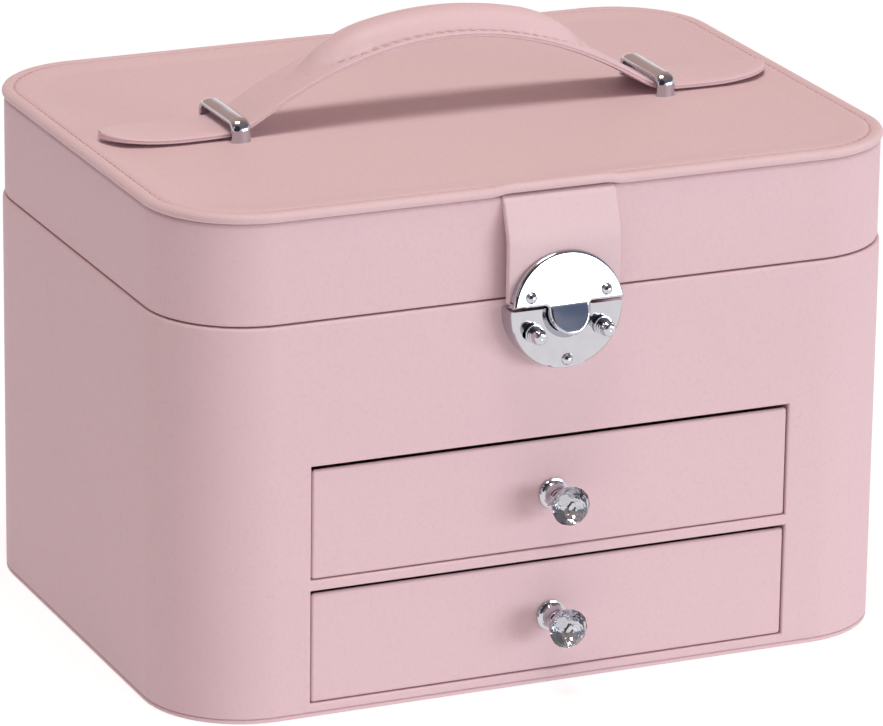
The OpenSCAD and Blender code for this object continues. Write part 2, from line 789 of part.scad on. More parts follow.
// The upper half of the lock with its dished tongue
module hasp_plate() {
    dish_r = (pow(dish_d / 2, 2) + pow(dish_depth, 2)) / (2 * dish_depth);
    color("#dcd9d8")
        at_lock()
            difference() {
                union() {
                    intersection() {
                        translate([0, hasp_bottom_y, hasp_face])
                            rotate([-hasp_tilt, 0, 0])
                                translate([0, -hasp_bottom_y, -hasp_face])
                                    lock_disc(hasp_back - hasp_t, 2 * hasp_t);
                        translate([-lock_d, hasp_bottom_y, hasp_back])
                            cube([2 * lock_d, lock_d, hasp_t]);
                    }
                    translate([0, 0, hasp_back])
                        cylinder(r = tongue_r, h = hasp_t);
                    translate([-tongue_r, 0, hasp_back])
                        cube([2 * tongue_r, hasp_bottom_y, hasp_t]);
                }
                translate([0, 0, hasp_face + dish_r - dish_depth])
                    sphere(dish_r, $fn = 96);
                for (x = [-1, 1])
                    translate([x * hasp_rivet_x, hasp_rivet_rise, hasp_back - cut])
                        cylinder(d = rivet_d + 2 * rivet_fit, h = hasp_t + 2 * cut);
            }
}

// The two rivets that hold the hasp on the tab, spread behind it
module hasp_rivets() {
    foot_t = rivet_head_h / 2;
    color("#d4d1d0")
        at_lock()
            for (x = [-1, 1]) {
                rivet(
                    x * hasp_rivet_x, hasp_rivet_rise, hasp_back - tab_t - foot_t, hasp_top(hasp_rivet_rise),
                    hasp_tilt
                );
                translate([x * hasp_rivet_x, hasp_rivet_rise, hasp_back - tab_t - foot_t])
                    cylinder(d = rivet_head_d, h = foot_t);
            }
}

// A slot for a sliding stem, from one end of its travel to the other
module stem_slot(side) {
    slot_r = knob_stem_d / 2 + knob_clear;
    for (x = [knob_x, knob_x + knob_travel])
        translate([side * x, knob_y, lock_depth - lock_skin_t - cut])
            cylinder(r = slot_r, h = lock_skin_t + 2 * cut);
    translate([side * (knob_x + knob_travel / 2) - knob_travel / 2, knob_y - slot_r, lock_depth - lock_skin_t - cut])
        cube([knob_travel, 2 * slot_r, lock_skin_t + 2 * cut]);
}

// The lower half of the lock: a hollow dish with a notch, two slots and bolt windows
module lock_plate() {
    cavity_h = lock_depth - lock_skin_t;
    color("#d6d3d1")
        at_lock()
            difference() {
                lock_disc(0, lock_depth);
                translate([-lock_d, plate_top_y, -cut])
                    cube([2 * lock_d, lock_d, lock_depth + 2 * cut]);
                difference() {
                    translate([0, 0, -cut])
                        cylinder(r = lock_r - lock_rim_t, h = cavity_h + cut, $fn = 96);
                    translate([0, 0, -2 * cut])
                        cylinder(r = notch_r + lock_rim_t, h = cavity_h + 3 * cut);
                    translate([-lock_d, plate_top_y - lock_rim_t, -2 * cut])
                        cube([2 * lock_d, lock_d, cavity_h + 3 * cut]);
                }
                translate([0, 0, -cut])
                    cylinder(r = notch_r, h = lock_depth + 2 * cut);
                translate([-notch_r, 0, -cut])
                    cube([2 * notch_r, lock_d, lock_depth + 2 * cut]);
                translate([0, 0, lock_depth - notch_bevel / 2])
                    cylinder(r1 = notch_r, r2 = notch_r + 2 * notch_bevel, h = notch_bevel);
                for (side = [-1, 1]) {
                    stem_slot(side);
                    translate([side * notch_r - notch_r / 2, nose_y - slide_half_h / 2 - slide_fit, slide_bottom - slide_fit])
                        cube([notch_r, slide_half_h + 2 * slide_fit, slide_t + 2 * slide_fit]);
                }
                translate([0, -plate_rivet_drop, -cut])
                    cylinder(d = rivet_d + 2 * rivet_fit, h = lock_depth + 2 * cut);
            }
}

// The plate that closes the mechanism against the case front
module lock_back_plate() {
    color("#a9a6a4")
        at_lock()
            difference() {
                cylinder(r = lock_r - lock_rim_t - lock_back_fit, h = lock_back_t, $fn = 96);
                translate([0, 0, -cut])
                    cylinder(r = notch_r + lock_rim_t + lock_back_fit, h = lock_back_t + 2 * cut);
                translate([-lock_d, plate_top_y - lock_rim_t - lock_back_fit, -cut])
                    cube([2 * lock_d, lock_d, lock_back_t + 2 * cut]);
                translate([0, -plate_rivet_drop, -cut])
                    cylinder(d = rivet_d + 2 * rivet_fit, h = lock_back_t + 2 * cut);
            }
}

// The rivet that holds the lower half to the case wall
module lock_rivet() {
    color("#d4d1d0")
        at_lock()
            rivet(0, -plate_rivet_drop, -wall_t, lock_depth);
}

// The spring that pulls the two slides together
module lock_spring() {
    radius = (spring_d - spring_wire_d) / 2;
    half = arm_in_x - slide_fit - spring_wire_d;
    steps = spring_turns * spring_rings;
    color("#9c9a99")
        at_lock()
            translate([0, spring_y, (slide_top + slide_bottom) / 2])
                loft([
                    for (k = [0:steps])
                        let (turn = 360 * k / spring_rings, x = half * (2 * k / steps - 1))
                        [
                            for (i = [0:spring_sides - 1])
                                let (
                                    a = 360 * i / spring_sides,
                                    r = radius + spring_wire_d / 2 * cos(a)
                                )
                                [x + spring_wire_d / 2 * sin(a), r * cos(turn), r * sin(turn)]
                        ]
                ]);
}

// A slide: the block under the knob, the bolt nose and the arm that the spring pulls
module lock_slide(side) {
    color("#b3b0ae")
        at_lock()
            mirror([side < 0 ? 1 : 0, 0, 0])
                difference() {
                    union() {
                        translate([slide_in_x, knob_y - slide_half_h, slide_bottom])
                            cube([slide_out_x - slide_in_x, nose_y - knob_y + 3 * slide_half_h / 2, slide_t]);
                        translate([nose_x, nose_y - slide_half_h / 2, slide_bottom])
                            cube([slide_in_x - nose_x + cut, slide_half_h, slide_t]);
                        translate([arm_in_x, spring_y - spring_d / 2, slide_bottom])
                            cube([arm_w, knob_y - spring_y + spring_d / 2, slide_t]);
                    }
                    translate([knob_x, knob_y, slide_bottom - cut])
                        cylinder(d = knob_tail_d + 2 * rivet_fit, h = slide_t + 2 * cut);
                }
}

// A turned knob with three rings, on a stem through its slot
module lock_knob(side) {
    foot = lock_depth + knob_clear;
    tip = lock_depth + knob_len;
    rings = 3;
    foot_h = 1;
    cap_h = 2;
    pitch = (tip - cap_h - foot - foot_h) / rings;
    color("#dedbd9")
        at_lock()
            translate([side * knob_x, knob_y, 0])
                rotate_extrude()
                    polygon(concat(
                        [
                            [0, slide_bottom], [knob_tail_d / 2, slide_bottom], [knob_tail_d / 2, slide_top],
                            [knob_stem_d / 2, slide_top], [knob_stem_d / 2, foot], [knob_foot_d / 2, foot],
                            [knob_foot_d / 2, foot + foot_h]
                        ],
                        [
                            for (k = [0:rings - 1], p = [[0.15, 1], [0.4, 1], [0.55, 0], [0.95, 0]])
                                let (
                                    z = foot + foot_h + pitch * (k + p[0]),
                                    t = (z - foot) / (tip - foot),
                                    r = knob_foot_d / 2 * (1 - t) + knob_tip_d / 2 * t
                                )
                                [r - p[1] * knob_groove, z]
                        ],
                        [
                            for (a = [0:15:75])
                                [knob_tip_d / 2 * (0.35 + 0.65 * cos(a)), tip - cap_h / 2 * (1 - sin(a))]
                        ],
                        [[0, tip]]
                    ));
}

// One knuckle segment of a hinge as a cylinder along x, a little long where it is a cut
module knuckle(side, i, r, extra) {
    translate([side * hinge_x - hinge_w / 2 + i * knuckle_w + knuckle_gap / 2 - extra, hinge_y, hinge_z])
        rotate([0, 90, 0])
            cylinder(r = r, h = knuckle_w - knuckle_gap + 2 * extra);
}

// A hinge leaf: part -1 is on the case, part 1 is on the lid
module hinge_leaf(side, part) {
    first = part < 0 ? 0 : 1;
    wall_y = part < 0 ? back_y : back_y - lid_inset;
    low_z = part < 0 ? hinge_z - leaf_h : hinge_z + seam_gap / 2;
    color("#c9c6c3")
        difference() {
            union() {
                difference() {
                    translate([side * hinge_x - hinge_w / 2, wall_y, low_z])
                        cube([hinge_w, back_y + leaf_t - wall_y, leaf_h - seam_gap / 2]);
                    for (i = [1 - first:2:knuckles - 1])
                        knuckle(side, i, knuckle_r + knuckle_gap, knuckle_gap);
                }
                for (i = [first:2:knuckles - 1])
                    knuckle(side, i, knuckle_r, 0);
            }
            translate([side * hinge_x - hinge_w / 2 - cut, hinge_y, hinge_z])
                rotate([0, 90, 0])
                    cylinder(r = pin_r + pin_fit, h = hinge_w + 2 * cut);
            hinge_screw_shapes(part, screw_fit);
        }
}

// The pin of a hinge
module hinge_pin(side) {
    color("#b9b6b4")
        translate([side * hinge_x - hinge_w / 2 + knuckle_gap / 2, hinge_y, hinge_z])
            rotate([0, 90, 0])
                cylinder(r = pin_r, h = hinge_w - knuckle_gap);
}

// Countersunk screws of the hinge leaves on the case or on the lid, grown by a clearance
module hinge_screw_shapes(part, grow) {
    head_h = (hinge_screw_head_d - hinge_screw_d) / 2;
    for (side = [-1, 1], x = [-1, 1])
        translate([side * hinge_x + x * hinge_screw_x, back_y + leaf_t, hinge_z + part * hinge_screw_z])
            rotate([90, 0, 0]) {
                cylinder(d1 = hinge_screw_head_d + 2 * grow, d2 = hinge_screw_d + 2 * grow, h = head_h);
                cylinder(d = hinge_screw_d + 2 * grow, h = hinge_screw_len + grow);
            }
}

// Holes for the hinge screws in the back walls
module hinge_screw_holes(part) {
    hinge_screw_shapes(part, screw_fit);
}

// The hinge screws of the case or of the lid
module hinge_screws(part) {
    color("#c4c1be")
        hinge_screw_shapes(part, 0);
}

// Moves a drawer's pieces to the upper or the lower opening
module at_drawer(upper) {
    translate([0, 0, (upper ? upper_z : sill_z) + drawer_floor_gap])
        children();
}

// Places a pull's own frame: z points out of the drawer front
module at_pull() {
    translate([0, drawer_y, pull_rise])
        rotate([90, 0, 0])
            children();
}

// The hole of the pull's screw, from the drawer front inwards
module pull_screw_hole() {
    at_pull()
        translate([0, 0, -front_t - drawer_wall_t - cut])
            cylinder(d = pull_screw_d + 2 * screw_fit, h = front_t + drawer_wall_t + 2 * cut);
}

// The wrapped drawer front
module drawer_front(upper) {
    color("#e8979f")
        at_drawer(upper)
            difference() {
                translate([-drawer_w / 2, drawer_y, 0])
                    cube([drawer_w, front_t, drawer_front_h]);
                pull_screw_hole();
            }
}

// The open box behind a drawer front
module drawer_tray(upper) {
    color("#dba49f")
        at_drawer(upper)
            difference() {
                translate([-drawer_w / 2, drawer_tray_y, 0])
                    cube([drawer_w, drawer_tray_d, drawer_tray_h]);
                translate([-drawer_w / 2 + drawer_wall_t, drawer_tray_y + drawer_wall_t, drawer_wall_t])
                    cube([drawer_w - 2 * drawer_wall_t, drawer_tray_d - 2 * drawer_wall_t, drawer_tray_h]);
                pull_screw_hole();
            }
}

// The lining of a drawer, with a hole round the screw's head
module drawer_lining(upper) {
    w = drawer_w - 2 * drawer_wall_t;
    d = drawer_tray_d - 2 * drawer_wall_t;
    t = drawer_lining_t;
    color("#ead8cd")
        at_drawer(upper)
            difference() {
                translate([-w / 2, drawer_tray_y + drawer_wall_t, drawer_wall_t])
                    cube([w, d, drawer_tray_h - drawer_wall_t]);
                translate([-w / 2 + t, drawer_tray_y + drawer_wall_t + t, drawer_wall_t + t])
                    cube([w - 2 * t, d - 2 * t, drawer_tray_h]);
                at_pull()
                    translate([0, 0, -front_t - drawer_wall_t - t - cut])
                        cylinder(d = pull_screw_head_d + 4 * screw_fit, h = t + 2 * cut);
            }
}

// The two dividers of a drawer
module drawer_dividers(upper) {
    inside_w = drawer_w - 2 * drawer_wall_t - 2 * drawer_lining_t;
    inside_d = drawer_tray_d - 2 * drawer_wall_t - 2 * drawer_lining_t;
    color("#ead8cd")
        at_drawer(upper)
            for (x = [-1, 1])
                translate([
                    x * inside_w / 6 - drawer_divider_t / 2,
                    drawer_tray_y + drawer_wall_t + drawer_lining_t,
                    drawer_wall_t + drawer_lining_t
                ])
                    cube([drawer_divider_t, inside_d, drawer_divider_h]);
}

// The turned metal foot of a pull, with a cup for the crystal
module pull_base(upper) {
    flange_r = pull_flange_d / 2;
    neck_r = pull_neck_d / 2;
    cup_r = pull_cup_d / 2;
    neck_z = pull_cup_reach * 0.36;
    waist = flange_r - neck_r;
    flare = cup_r - neck_r;
    flange_h = 0.9;
    rim_h = 1;
    color("#d9d6d4")
        at_drawer(upper)
            at_pull()
                difference() {
                    rotate_extrude()
                        polygon(concat(
                            [[0, 0], [flange_r, 0], [flange_r, flange_h]],
                            [
                                for (a = [15:15:90])
                                    [
                                        flange_r - waist * sin(a),
                                        neck_z - (neck_z - flange_h) * cos(a)
                                    ]
                            ],
                            [
                                for (a = [15:15:90])
                                    [
                                        cup_r - flare * cos(a),
                                        neck_z + (pull_cup_reach - rim_h - neck_z) * sin(a)
                                    ]
                            ],
                            [[cup_r, pull_cup_reach], [0, pull_cup_reach]]
                        ));
                    translate([0, 0, -cut])
                        cylinder(d = pull_screw_d + 2 * screw_fit, h = pull_screw_grip + screw_fit + cut);
                    translate([0, 0, culet_z])
                        cylinder(
                            r1 = culet_r + crystal_fit, r2 = crystal_r + crystal_fit,
                            h = crystal_pavilion
                        );
                }
}

// The cut crystal: a pointed crown of main facets, a girdle and a short pavilion
module pull_crystal(upper) {
    star_r = crystal_r * 0.62;
    star_h = crystal_crown * 0.46;
    half_step = 180 / crystal_facets;
    color("#e9f2f6")
        at_drawer(upper)
            at_pull()
                translate([0, 0, culet_z])
                    hull() {
                        cylinder(r = culet_r, h = crystal_fit, $fn = 2 * crystal_facets);
                        translate([0, 0, crystal_pavilion])
                            cylinder(r = crystal_r, h = crystal_girdle, $fn = 2 * crystal_facets);
                        translate([0, 0, crystal_pavilion + crystal_girdle])
                            rotate([0, 0, half_step])
                                cylinder(r = star_r, h = star_h, $fn = crystal_facets);
                        translate([0, 0, crystal_pavilion + crystal_girdle])
                            cylinder(r1 = star_r, r2 = 0, h = crystal_crown, $fn = crystal_facets);
                    }
}

// The screw that holds a pull from inside the drawer
module pull_screw(upper) {
    inner_z = -front_t - drawer_wall_t;
    color("#b9b6b4")
        at_drawer(upper)
            at_pull() {
                translate([0, 0, inner_z])
                    cylinder(d = pull_screw_d, h = pull_screw_grip - inner_z);
                translate([0, 0, inner_z - pull_screw_head_h])
                    cylinder(d = pull_screw_head_d, h = pull_screw_head_h);
            }
}

base_panel();
floor_board();
body_shell();
bay_wall(-1);  // bay_wall_left
bay_wall(1);  // bay_wall_right
drawer_shelf();
tray_floor();
tray_collar();
tray_dividers();
tray_cross_dividers();
ring_riser();
ring_rolls();
lid_frame();
lid_panel();
lid_lining();
lid_mirror();
handle_strap();
handle_loop(-1);  // handle_loop_left
handle_loop(1);  // handle_loop_right
loop_washers();
lock_tab();
hasp_plate();
hasp_rivets();
lock_plate();
lock_back_plate();
lock_rivet();
lock_spring();
lock_slide(-1);  // lock_slide_left
lock_slide(1);  // lock_slide_right
lock_knob(-1);  // lock_knob_left
lock_knob(1);  // lock_knob_right
hinge_leaf(-1, -1);  // hinge_leaf_case_left
hinge_leaf(1, -1);  // hinge_leaf_case_right
hinge_leaf(-1, 1);  // hinge_leaf_lid_left
hinge_leaf(1, 1);  // hinge_leaf_lid_right
hinge_pin(-1);  // hinge_pin_left
hinge_pin(1);  // hinge_pin_right
hinge_screws(-1);  // hinge_screws_case
hinge_screws(1);  // hinge_screws_lid
drawer_front(true);  // drawer_front_upper
drawer_tray(true);  // drawer_tray_upper
drawer_lining(true);  // drawer_lining_upper
drawer_dividers(true);  // drawer_dividers_upper
pull_base(true);  // pull_base_upper
pull_crystal(true);  // pull_crystal_upper
pull_screw(true);  // pull_screw_upper
drawer_front(false);  // drawer_front_lower
drawer_tray(false);  // drawer_tray_lower
drawer_lining(false);  // drawer_lining_lower
drawer_dividers(false);  // drawer_dividers_lower
pull_base(false);  // pull_base_lower
pull_crystal(false);  // pull_crystal_lower
pull_screw(false);  // pull_screw_lower
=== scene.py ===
import math
import bmesh
import bpy
from mathutils import Matrix, Vector, noise


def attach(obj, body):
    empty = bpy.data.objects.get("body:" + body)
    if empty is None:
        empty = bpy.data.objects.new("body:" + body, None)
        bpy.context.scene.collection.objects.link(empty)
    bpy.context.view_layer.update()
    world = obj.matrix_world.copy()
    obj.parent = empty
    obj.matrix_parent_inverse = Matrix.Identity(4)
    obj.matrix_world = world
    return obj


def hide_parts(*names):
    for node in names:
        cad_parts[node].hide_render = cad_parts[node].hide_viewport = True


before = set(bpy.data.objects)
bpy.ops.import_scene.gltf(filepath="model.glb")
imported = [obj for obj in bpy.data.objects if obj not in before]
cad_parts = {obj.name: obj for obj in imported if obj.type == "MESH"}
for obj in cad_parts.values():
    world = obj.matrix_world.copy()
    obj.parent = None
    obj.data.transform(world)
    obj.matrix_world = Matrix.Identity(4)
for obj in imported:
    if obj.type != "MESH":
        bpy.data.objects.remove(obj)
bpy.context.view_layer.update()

# The studio: a white sweep, a broad soft lamp at the right front, a wide one overhead and a small
# one at the left, seen through the long lens of the photograph. Bright metal mirrors the white
# sweep, the dark room above it and the dark place where the photographer stands.
scene = bpy.context.scene
scene.view_settings.view_transform = "Standard"


def node(tree, kind, **inputs):
    made = tree.nodes.new(kind)
    for key, value in inputs.items():
        socket = made.inputs[int(key[1:]) if key[0] == "_" else key.replace("_", " ")]
        if isinstance(value, bpy.types.NodeSocket):
            tree.links.new(value, socket)
        else:
            socket.default_value = value
    return made


def reckon(tree, operation, a, b=0.0, c=0.0):
    made = node(tree, "ShaderNodeMath", _0=a, _1=b, _2=c)
    made.operation = operation
    return made.outputs[0]


def mix_colour(tree, share, a, b):
    made = tree.nodes.new("ShaderNodeMix")
    made.data_type = "RGBA"
    for socket, value in zip((made.inputs[0], made.inputs[6], made.inputs[7]), (share, a, b)):
        if isinstance(value, bpy.types.NodeSocket):
            tree.links.new(value, socket)
        else:
            socket.default_value = value
    return made.outputs[2]


def seen_or_mirrored(tree):
    rays = tree.nodes.new("ShaderNodeLightPath")
    seen = reckon(tree, "MAXIMUM", rays.outputs["Is Camera Ray"], rays.outputs["Is Glossy Ray"])
    return reckon(tree, "MAXIMUM", seen, rays.outputs["Is Transmission Ray"])


def new_material(name):
    made = bpy.data.materials.new(name)
    made.use_nodes = True
    made.node_tree.nodes.clear()
    return made, made.node_tree


floor_finish, tree = new_material("white_sweep")
lit = node(tree, "ShaderNodeBsdfDiffuse", Color=(0.55, 0.53, 0.53, 1))
bounce = node(tree, "ShaderNodeEmission", Color=(1.0, 0.95, 0.97, 1), Strength=0.40)
lit = node(tree, "ShaderNodeAddShader", _0=lit.outputs[0], _1=bounce.outputs[0])
shown = node(tree, "ShaderNodeBsdfDiffuse", Color=(0.34, 0.34, 0.34, 1))
glow = node(tree, "ShaderNodeEmission", Color=(1, 1, 1, 1), Strength=0.79)
shown = node(tree, "ShaderNodeAddShader", _0=shown.outputs[0], _1=glow.outputs[0])
both = node(
    tree, "ShaderNodeMixShader", _0=seen_or_mirrored(tree), _1=lit.outputs[0], _2=shown.outputs[0],
)
node(tree, "ShaderNodeOutputMaterial", Surface=both.outputs[0])

floor_reach = 6.0
bm = bmesh.new()
bmesh.ops.create_grid(bm, x_segments=1, y_segments=1, size=floor_reach)
floor_mesh = bpy.data.meshes.new("floor")
bm.to_mesh(floor_mesh)
bm.free()
floor_mesh.materials.append(floor_finish)
floor = bpy.data.objects.new("floor", floor_mesh)
scene.collection.objects.link(floor)

scene.world = bpy.data.worlds.new("studio_air")
scene.world.use_nodes = True
tree = scene.world.node_tree
tree.nodes.clear()
way = tree.nodes.new("ShaderNodeTexCoord").outputs["Generated"]
split = node(tree, "ShaderNodeSeparateXYZ", Vector=way)
white, front_dusk, top_dusk = (1, 1, 1, 1), (0.15, 0.18, 0.27, 1), (0.30, 0.215, 0.19, 1)
rear_dusk, dark_coat = (0.62, 0.43, 0.38, 1), (0.05, 0.045, 0.05, 1)
level_air, top_air = (1.0, 0.915, 0.92, 1), (1.32, 0.84, 0.70, 1)
photographer = (-0.40, -0.86, 0.31)


def ramp(tree, value, low, high):
    return node(tree, "ShaderNodeMapRange", Value=value, From_Min=low, From_Max=high).outputs[0]


ceiling = ramp(tree, split.outputs["Z"], 0.12, 0.36)
above = ramp(tree, split.outputs["Z"], 0.45, 0.8)
behind = ramp(tree, split.outputs["Y"], -0.1, 0.5)
stand = node(tree, "ShaderNodeVectorMath", _0=way, _1=photographer)
stand.operation = "DOT_PRODUCT"
person = ramp(tree, stand.outputs["Value"], 0.80, 0.90)
rays = tree.nodes.new("ShaderNodeLightPath")
unseen = reckon(tree, "SUBTRACT", 1.0, rays.outputs["Is Camera Ray"])
dusk = mix_colour(tree, above, front_dusk, top_dusk)
dusk = mix_colour(tree, behind, dusk, rear_dusk)
backdrop = mix_colour(tree, reckon(tree, "MULTIPLY", ceiling, unseen), white, dusk)
backdrop = mix_colour(tree, reckon(tree, "MULTIPLY", person, unseen), backdrop, dark_coat)
warmth = mix_colour(tree, above, level_air, top_air)
air = node(tree, "ShaderNodeBackground", Color=warmth, Strength=0.32)
room = node(tree, "ShaderNodeBackground", Color=backdrop, Strength=1.0)
both = node(
    tree, "ShaderNodeMixShader", _0=seen_or_mirrored(tree), _1=air.outputs[0], _2=room.outputs[0],
)
node(tree, "ShaderNodeOutputWorld", Surface=both.outputs[0])


def soft_lamp(name, place, size, watts, colour):
    lamp = bpy.data.lights.new(name, "AREA")
    lamp.shape, lamp.size, lamp.size_y = "RECTANGLE", size[0], size[1]
    lamp.energy, lamp.color = watts, colour
    made = bpy.data.objects.new(name, lamp)
    made.location = place
    aim = Vector((0, 0, 0.08)) - Vector(place)
    made.rotation_euler = aim.to_track_quat("-Z", "Y").to_euler()
    scene.collection.objects.link(made)


soft_lamp("right_softbox", (1.9, -2.65, 0.42), (2.0, 0.8), 43, (0.97, 1.0, 1.015))
soft_lamp("overhead_softbox", (-0.15, -0.35, 2.3), (1.0, 0.8), 27.5, (1.0, 0.955, 0.91))
soft_lamp("left_softbox", (-1.6, -1.2, 1.2), (0.35, 0.5), 0.6, (1.0, 1.0, 1.0))

lens = bpy.data.cameras.new("photograph_lens")
lens.lens, lens.sensor_width = 245.4, 36
lens.shift_x, lens.shift_y = -0.0015, 0.0012
camera = bpy.data.objects.new("photograph_view", lens)
camera.location = (-0.72142, -1.63166, 0.66981)
camera.rotation_euler = [math.radians(a) for a in (71.5331, -0.7454, -23.6784)]
scene.collection.objects.link(camera)
scene.camera = camera

# The base: a thin board wrapped in the case's own leather and glued under the walls. Its edge is
# turned over all round, and the wrap is embossed with a fine even grain.
case_half = (120.0, 89.0)
corner = 31.0
leather_pink = (0.745, 0.562, 0.608, 1)


def of_type(found, kind):
    return [g for g in found if isinstance(g, kind)]


def joined(bm, points, closed):
    """Corners at the points and the edges from each to the next."""
    dots = [bm.verts.new(point) for point in points]
    return dots, [bm.edges.new(pair) for pair in zip(dots, dots[1:] + dots[:1] * closed)]


def drawn_out(bm, edges, way):
    """Pulls edges along a way into faces, and gives back the new edges."""
    run = bmesh.ops.extrude_edge_only(bm, edges=edges)["geom"]
    bmesh.ops.translate(bm, verts=of_type(run, bmesh.types.BMVert), vec=way)
    return of_type(run, bmesh.types.BMEdge)


def spun(bm, edges, centre, axis, angle, steps):
    """Turns edges about an axis into faces, and gives back the last edges."""
    ends = list(dict.fromkeys(v for e in edges for v in e.verts))
    turn = bmesh.ops.spin(bm, geom=ends + edges, cent=centre, axis=axis, angle=angle, steps=steps)
    return of_type(turn["geom_last"], bmesh.types.BMEdge)


def sweep_round(bm, profile, half, radius, closed, stops=()):
    """Carries a profile of (inset, height) pairs round a plan with rounded corners."""
    corner_steps = 14
    edges = joined(bm, [(0, -half[1] + inset, z) for inset, z in profile], closed)[1]
    at = 0.0
    for stop in [*stops, half[0] - radius]:
        edges, at = drawn_out(bm, edges, (stop - at, 0, 0)), stop
    centre = (half[0] - radius, radius - half[1], 0)
    edges = spun(bm, edges, centre, (0, 0, 1), math.pi / 2, corner_steps)
    drawn_out(bm, edges, (0, half[1] - radius, 0))
    for axis in "XY":
        whole = bm.verts[:] + bm.edges[:] + bm.faces[:]
        bmesh.ops.mirror(bm, geom=whole, merge_dist=1e-3, axis=axis)
    bmesh.ops.remove_doubles(bm, verts=bm.verts, dist=1e-3)
    if not closed:
        bmesh.ops.holes_fill(bm, edges=bm.edges, sides=0)
    bmesh.ops.recalc_face_normals(bm, faces=bm.faces)


def piece(name, bm, body, finish, slot, *nodes, sharp=38, even=True):
    """Makes the bmesh, in millimetres, a piece of that body in place of its CAD nodes."""
    bmesh.ops.scale(bm, vec=(0.001, 0.001, 0.001), verts=bm.verts)
    mesh = bpy.data.meshes.new(name)
    bm.to_mesh(mesh)
    bm.free()
    mesh.shade_smooth()
    mesh.set_sharp_from_angle(angle=math.radians(sharp))
    mesh.materials.append(finish)
    made = bpy.data.objects.new(name, mesh)
    scene.collection.objects.link(made)
    if even:
        made.modifiers.new("even_normals", "WEIGHTED_NORMAL").keep_sharp = True
    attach(made, body)
    if nodes:
        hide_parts(*nodes)
    return made


def new_group(name, inputs, outputs):
    group = bpy.data.node_groups.new(name, "ShaderNodeTree")
    for socket, kind in inputs.items():
        group.interface.new_socket(socket, in_out="INPUT", socket_type=kind)
    for socket, kind in outputs.items():
        group.interface.new_socket(socket, in_out="OUTPUT", socket_type=kind)
    return group, group.nodes.new("NodeGroupInput"), group.nodes.new("NodeGroupOutput")


def use_group(tree, group, **inputs):
    made = tree.nodes.new("ShaderNodeGroup")
    made.node_tree = group
    for key, value in inputs.items():
        if isinstance(value, bpy.types.NodeSocket):
            tree.links.new(value, made.inputs[key])
        else:
            made.inputs[key].default_value = value
    return made


# Pebbles of two sizes with warped outlines, as a graining roller leaves them.
leather_grain, given, asked = new_group(
    "leather_grain",
    {"Vector": "NodeSocketVector", "Cells": "NodeSocketFloat"},
    {"Height": "NodeSocketFloat", "Shaded_Creases": "NodeSocketFloat", "Tone": "NodeSocketFloat"},
)
warp = node(
    leather_grain, "ShaderNodeTexNoise", Vector=given.outputs["Vector"],
    Scale=reckon(leather_grain, "MULTIPLY", given.outputs["Cells"], 0.4), Detail=2.0,
)
shift = node(leather_grain, "ShaderNodeVectorMath", _0=warp.outputs["Color"], _1=(0.5, 0.5, 0.5))
shift.operation = "SUBTRACT"
pull = node(leather_grain, "ShaderNodeVectorMath", _0=shift.outputs[0])
pull.operation = "SCALE"
reach = reckon(leather_grain, "DIVIDE", 0.8, given.outputs["Cells"])
leather_grain.links.new(reach, pull.inputs["Scale"])
bent = node(leather_grain, "ShaderNodeVectorMath", _0=given.outputs["Vector"], _1=pull.outputs[0])
pebble = node(
    leather_grain, "ShaderNodeTexVoronoi", Vector=bent.outputs[0], Scale=given.outputs["Cells"],
)
pebble.feature = "SMOOTH_F1"
crumb = node(
    leather_grain, "ShaderNodeTexVoronoi", Vector=bent.outputs[0],
    Scale=reckon(leather_grain, "MULTIPLY", given.outputs["Cells"], 2.3),
)
rise = reckon(leather_grain, "MULTIPLY_ADD", pebble.outputs["Distance"], -0.9, 1.0)
rise = reckon(leather_grain, "MULTIPLY_ADD", crumb.outputs["Distance"], -0.3, rise)
leather_grain.links.new(rise, asked.inputs["Height"])
# A mask of the creases between the pebbles, where the grain is low, used for painted shade.
crease_shade = ramp(leather_grain, pebble.outputs["Distance"], 0.42, 0.75)
leather_grain.links.new(crease_shade, asked.inputs["Shaded_Creases"])
cloud = node(
    leather_grain, "ShaderNodeTexNoise", Vector=given.outputs["Vector"], Scale=14.0, Detail=3.0,
)
leather_grain.links.new(cloud.outputs["Fac"], asked.inputs["Tone"])


def shaded(colour, share):
    return [c * share for c in colour[:3]] + [1]


def leather(name, colour, cells=1100.0, rough=0.5):
    made, tree = new_material(name)
    place = tree.nodes.new("ShaderNodeTexCoord").outputs["Object"]
    grain = use_group(tree, leather_grain, Vector=place, Cells=cells)
    tone = ramp(tree, grain.outputs["Tone"], 0.3, 0.7)
    skin = mix_colour(tree, tone, shaded(colour, 0.985), shaded(colour, 1.01))
    # Painted shade: the creases between the pebbles are painted up to 3.5% darker.
    crease_shade = reckon(tree, "MULTIPLY", grain.outputs["Shaded_Creases"], 0.25)
    skin = mix_colour(tree, crease_shade, skin, shaded(colour, 0.86))
    satin = node(
        tree, "ShaderNodeMapRange", Value=grain.outputs["Height"], From_Min=0.3, From_Max=1.0,
        To_Min=rough + 0.08, To_Max=rough - 0.05,
    )
    bump = node(
        tree, "ShaderNodeBump", Strength=0.35, Distance=0.00004, Height=grain.outputs["Height"],
    )
    shader = node(
        tree, "ShaderNodeBsdfPrincipled", Base_Color=skin, Roughness=satin.outputs[0],
        Normal=bump.outputs[0], Specular_IOR_Level=0.22,
    )
    node(tree, "ShaderNodeOutputMaterial", Surface=shader.outputs[0])
    return made


wrap_leather = leather("wrap_leather", leather_pink)
bm = bmesh.new()
sweep_round(
    bm, [(1.6, 0), (0.5, 0.12), (0.1, 0.45), (0, 0.8), (0.1, 1.2), (0.45, 1.5), (1.0, 1.6)],
    case_half, corner, closed=False,
)
piece("base_wrap", bm, "case", wrap_leather, "pink_leather", "base_panel")

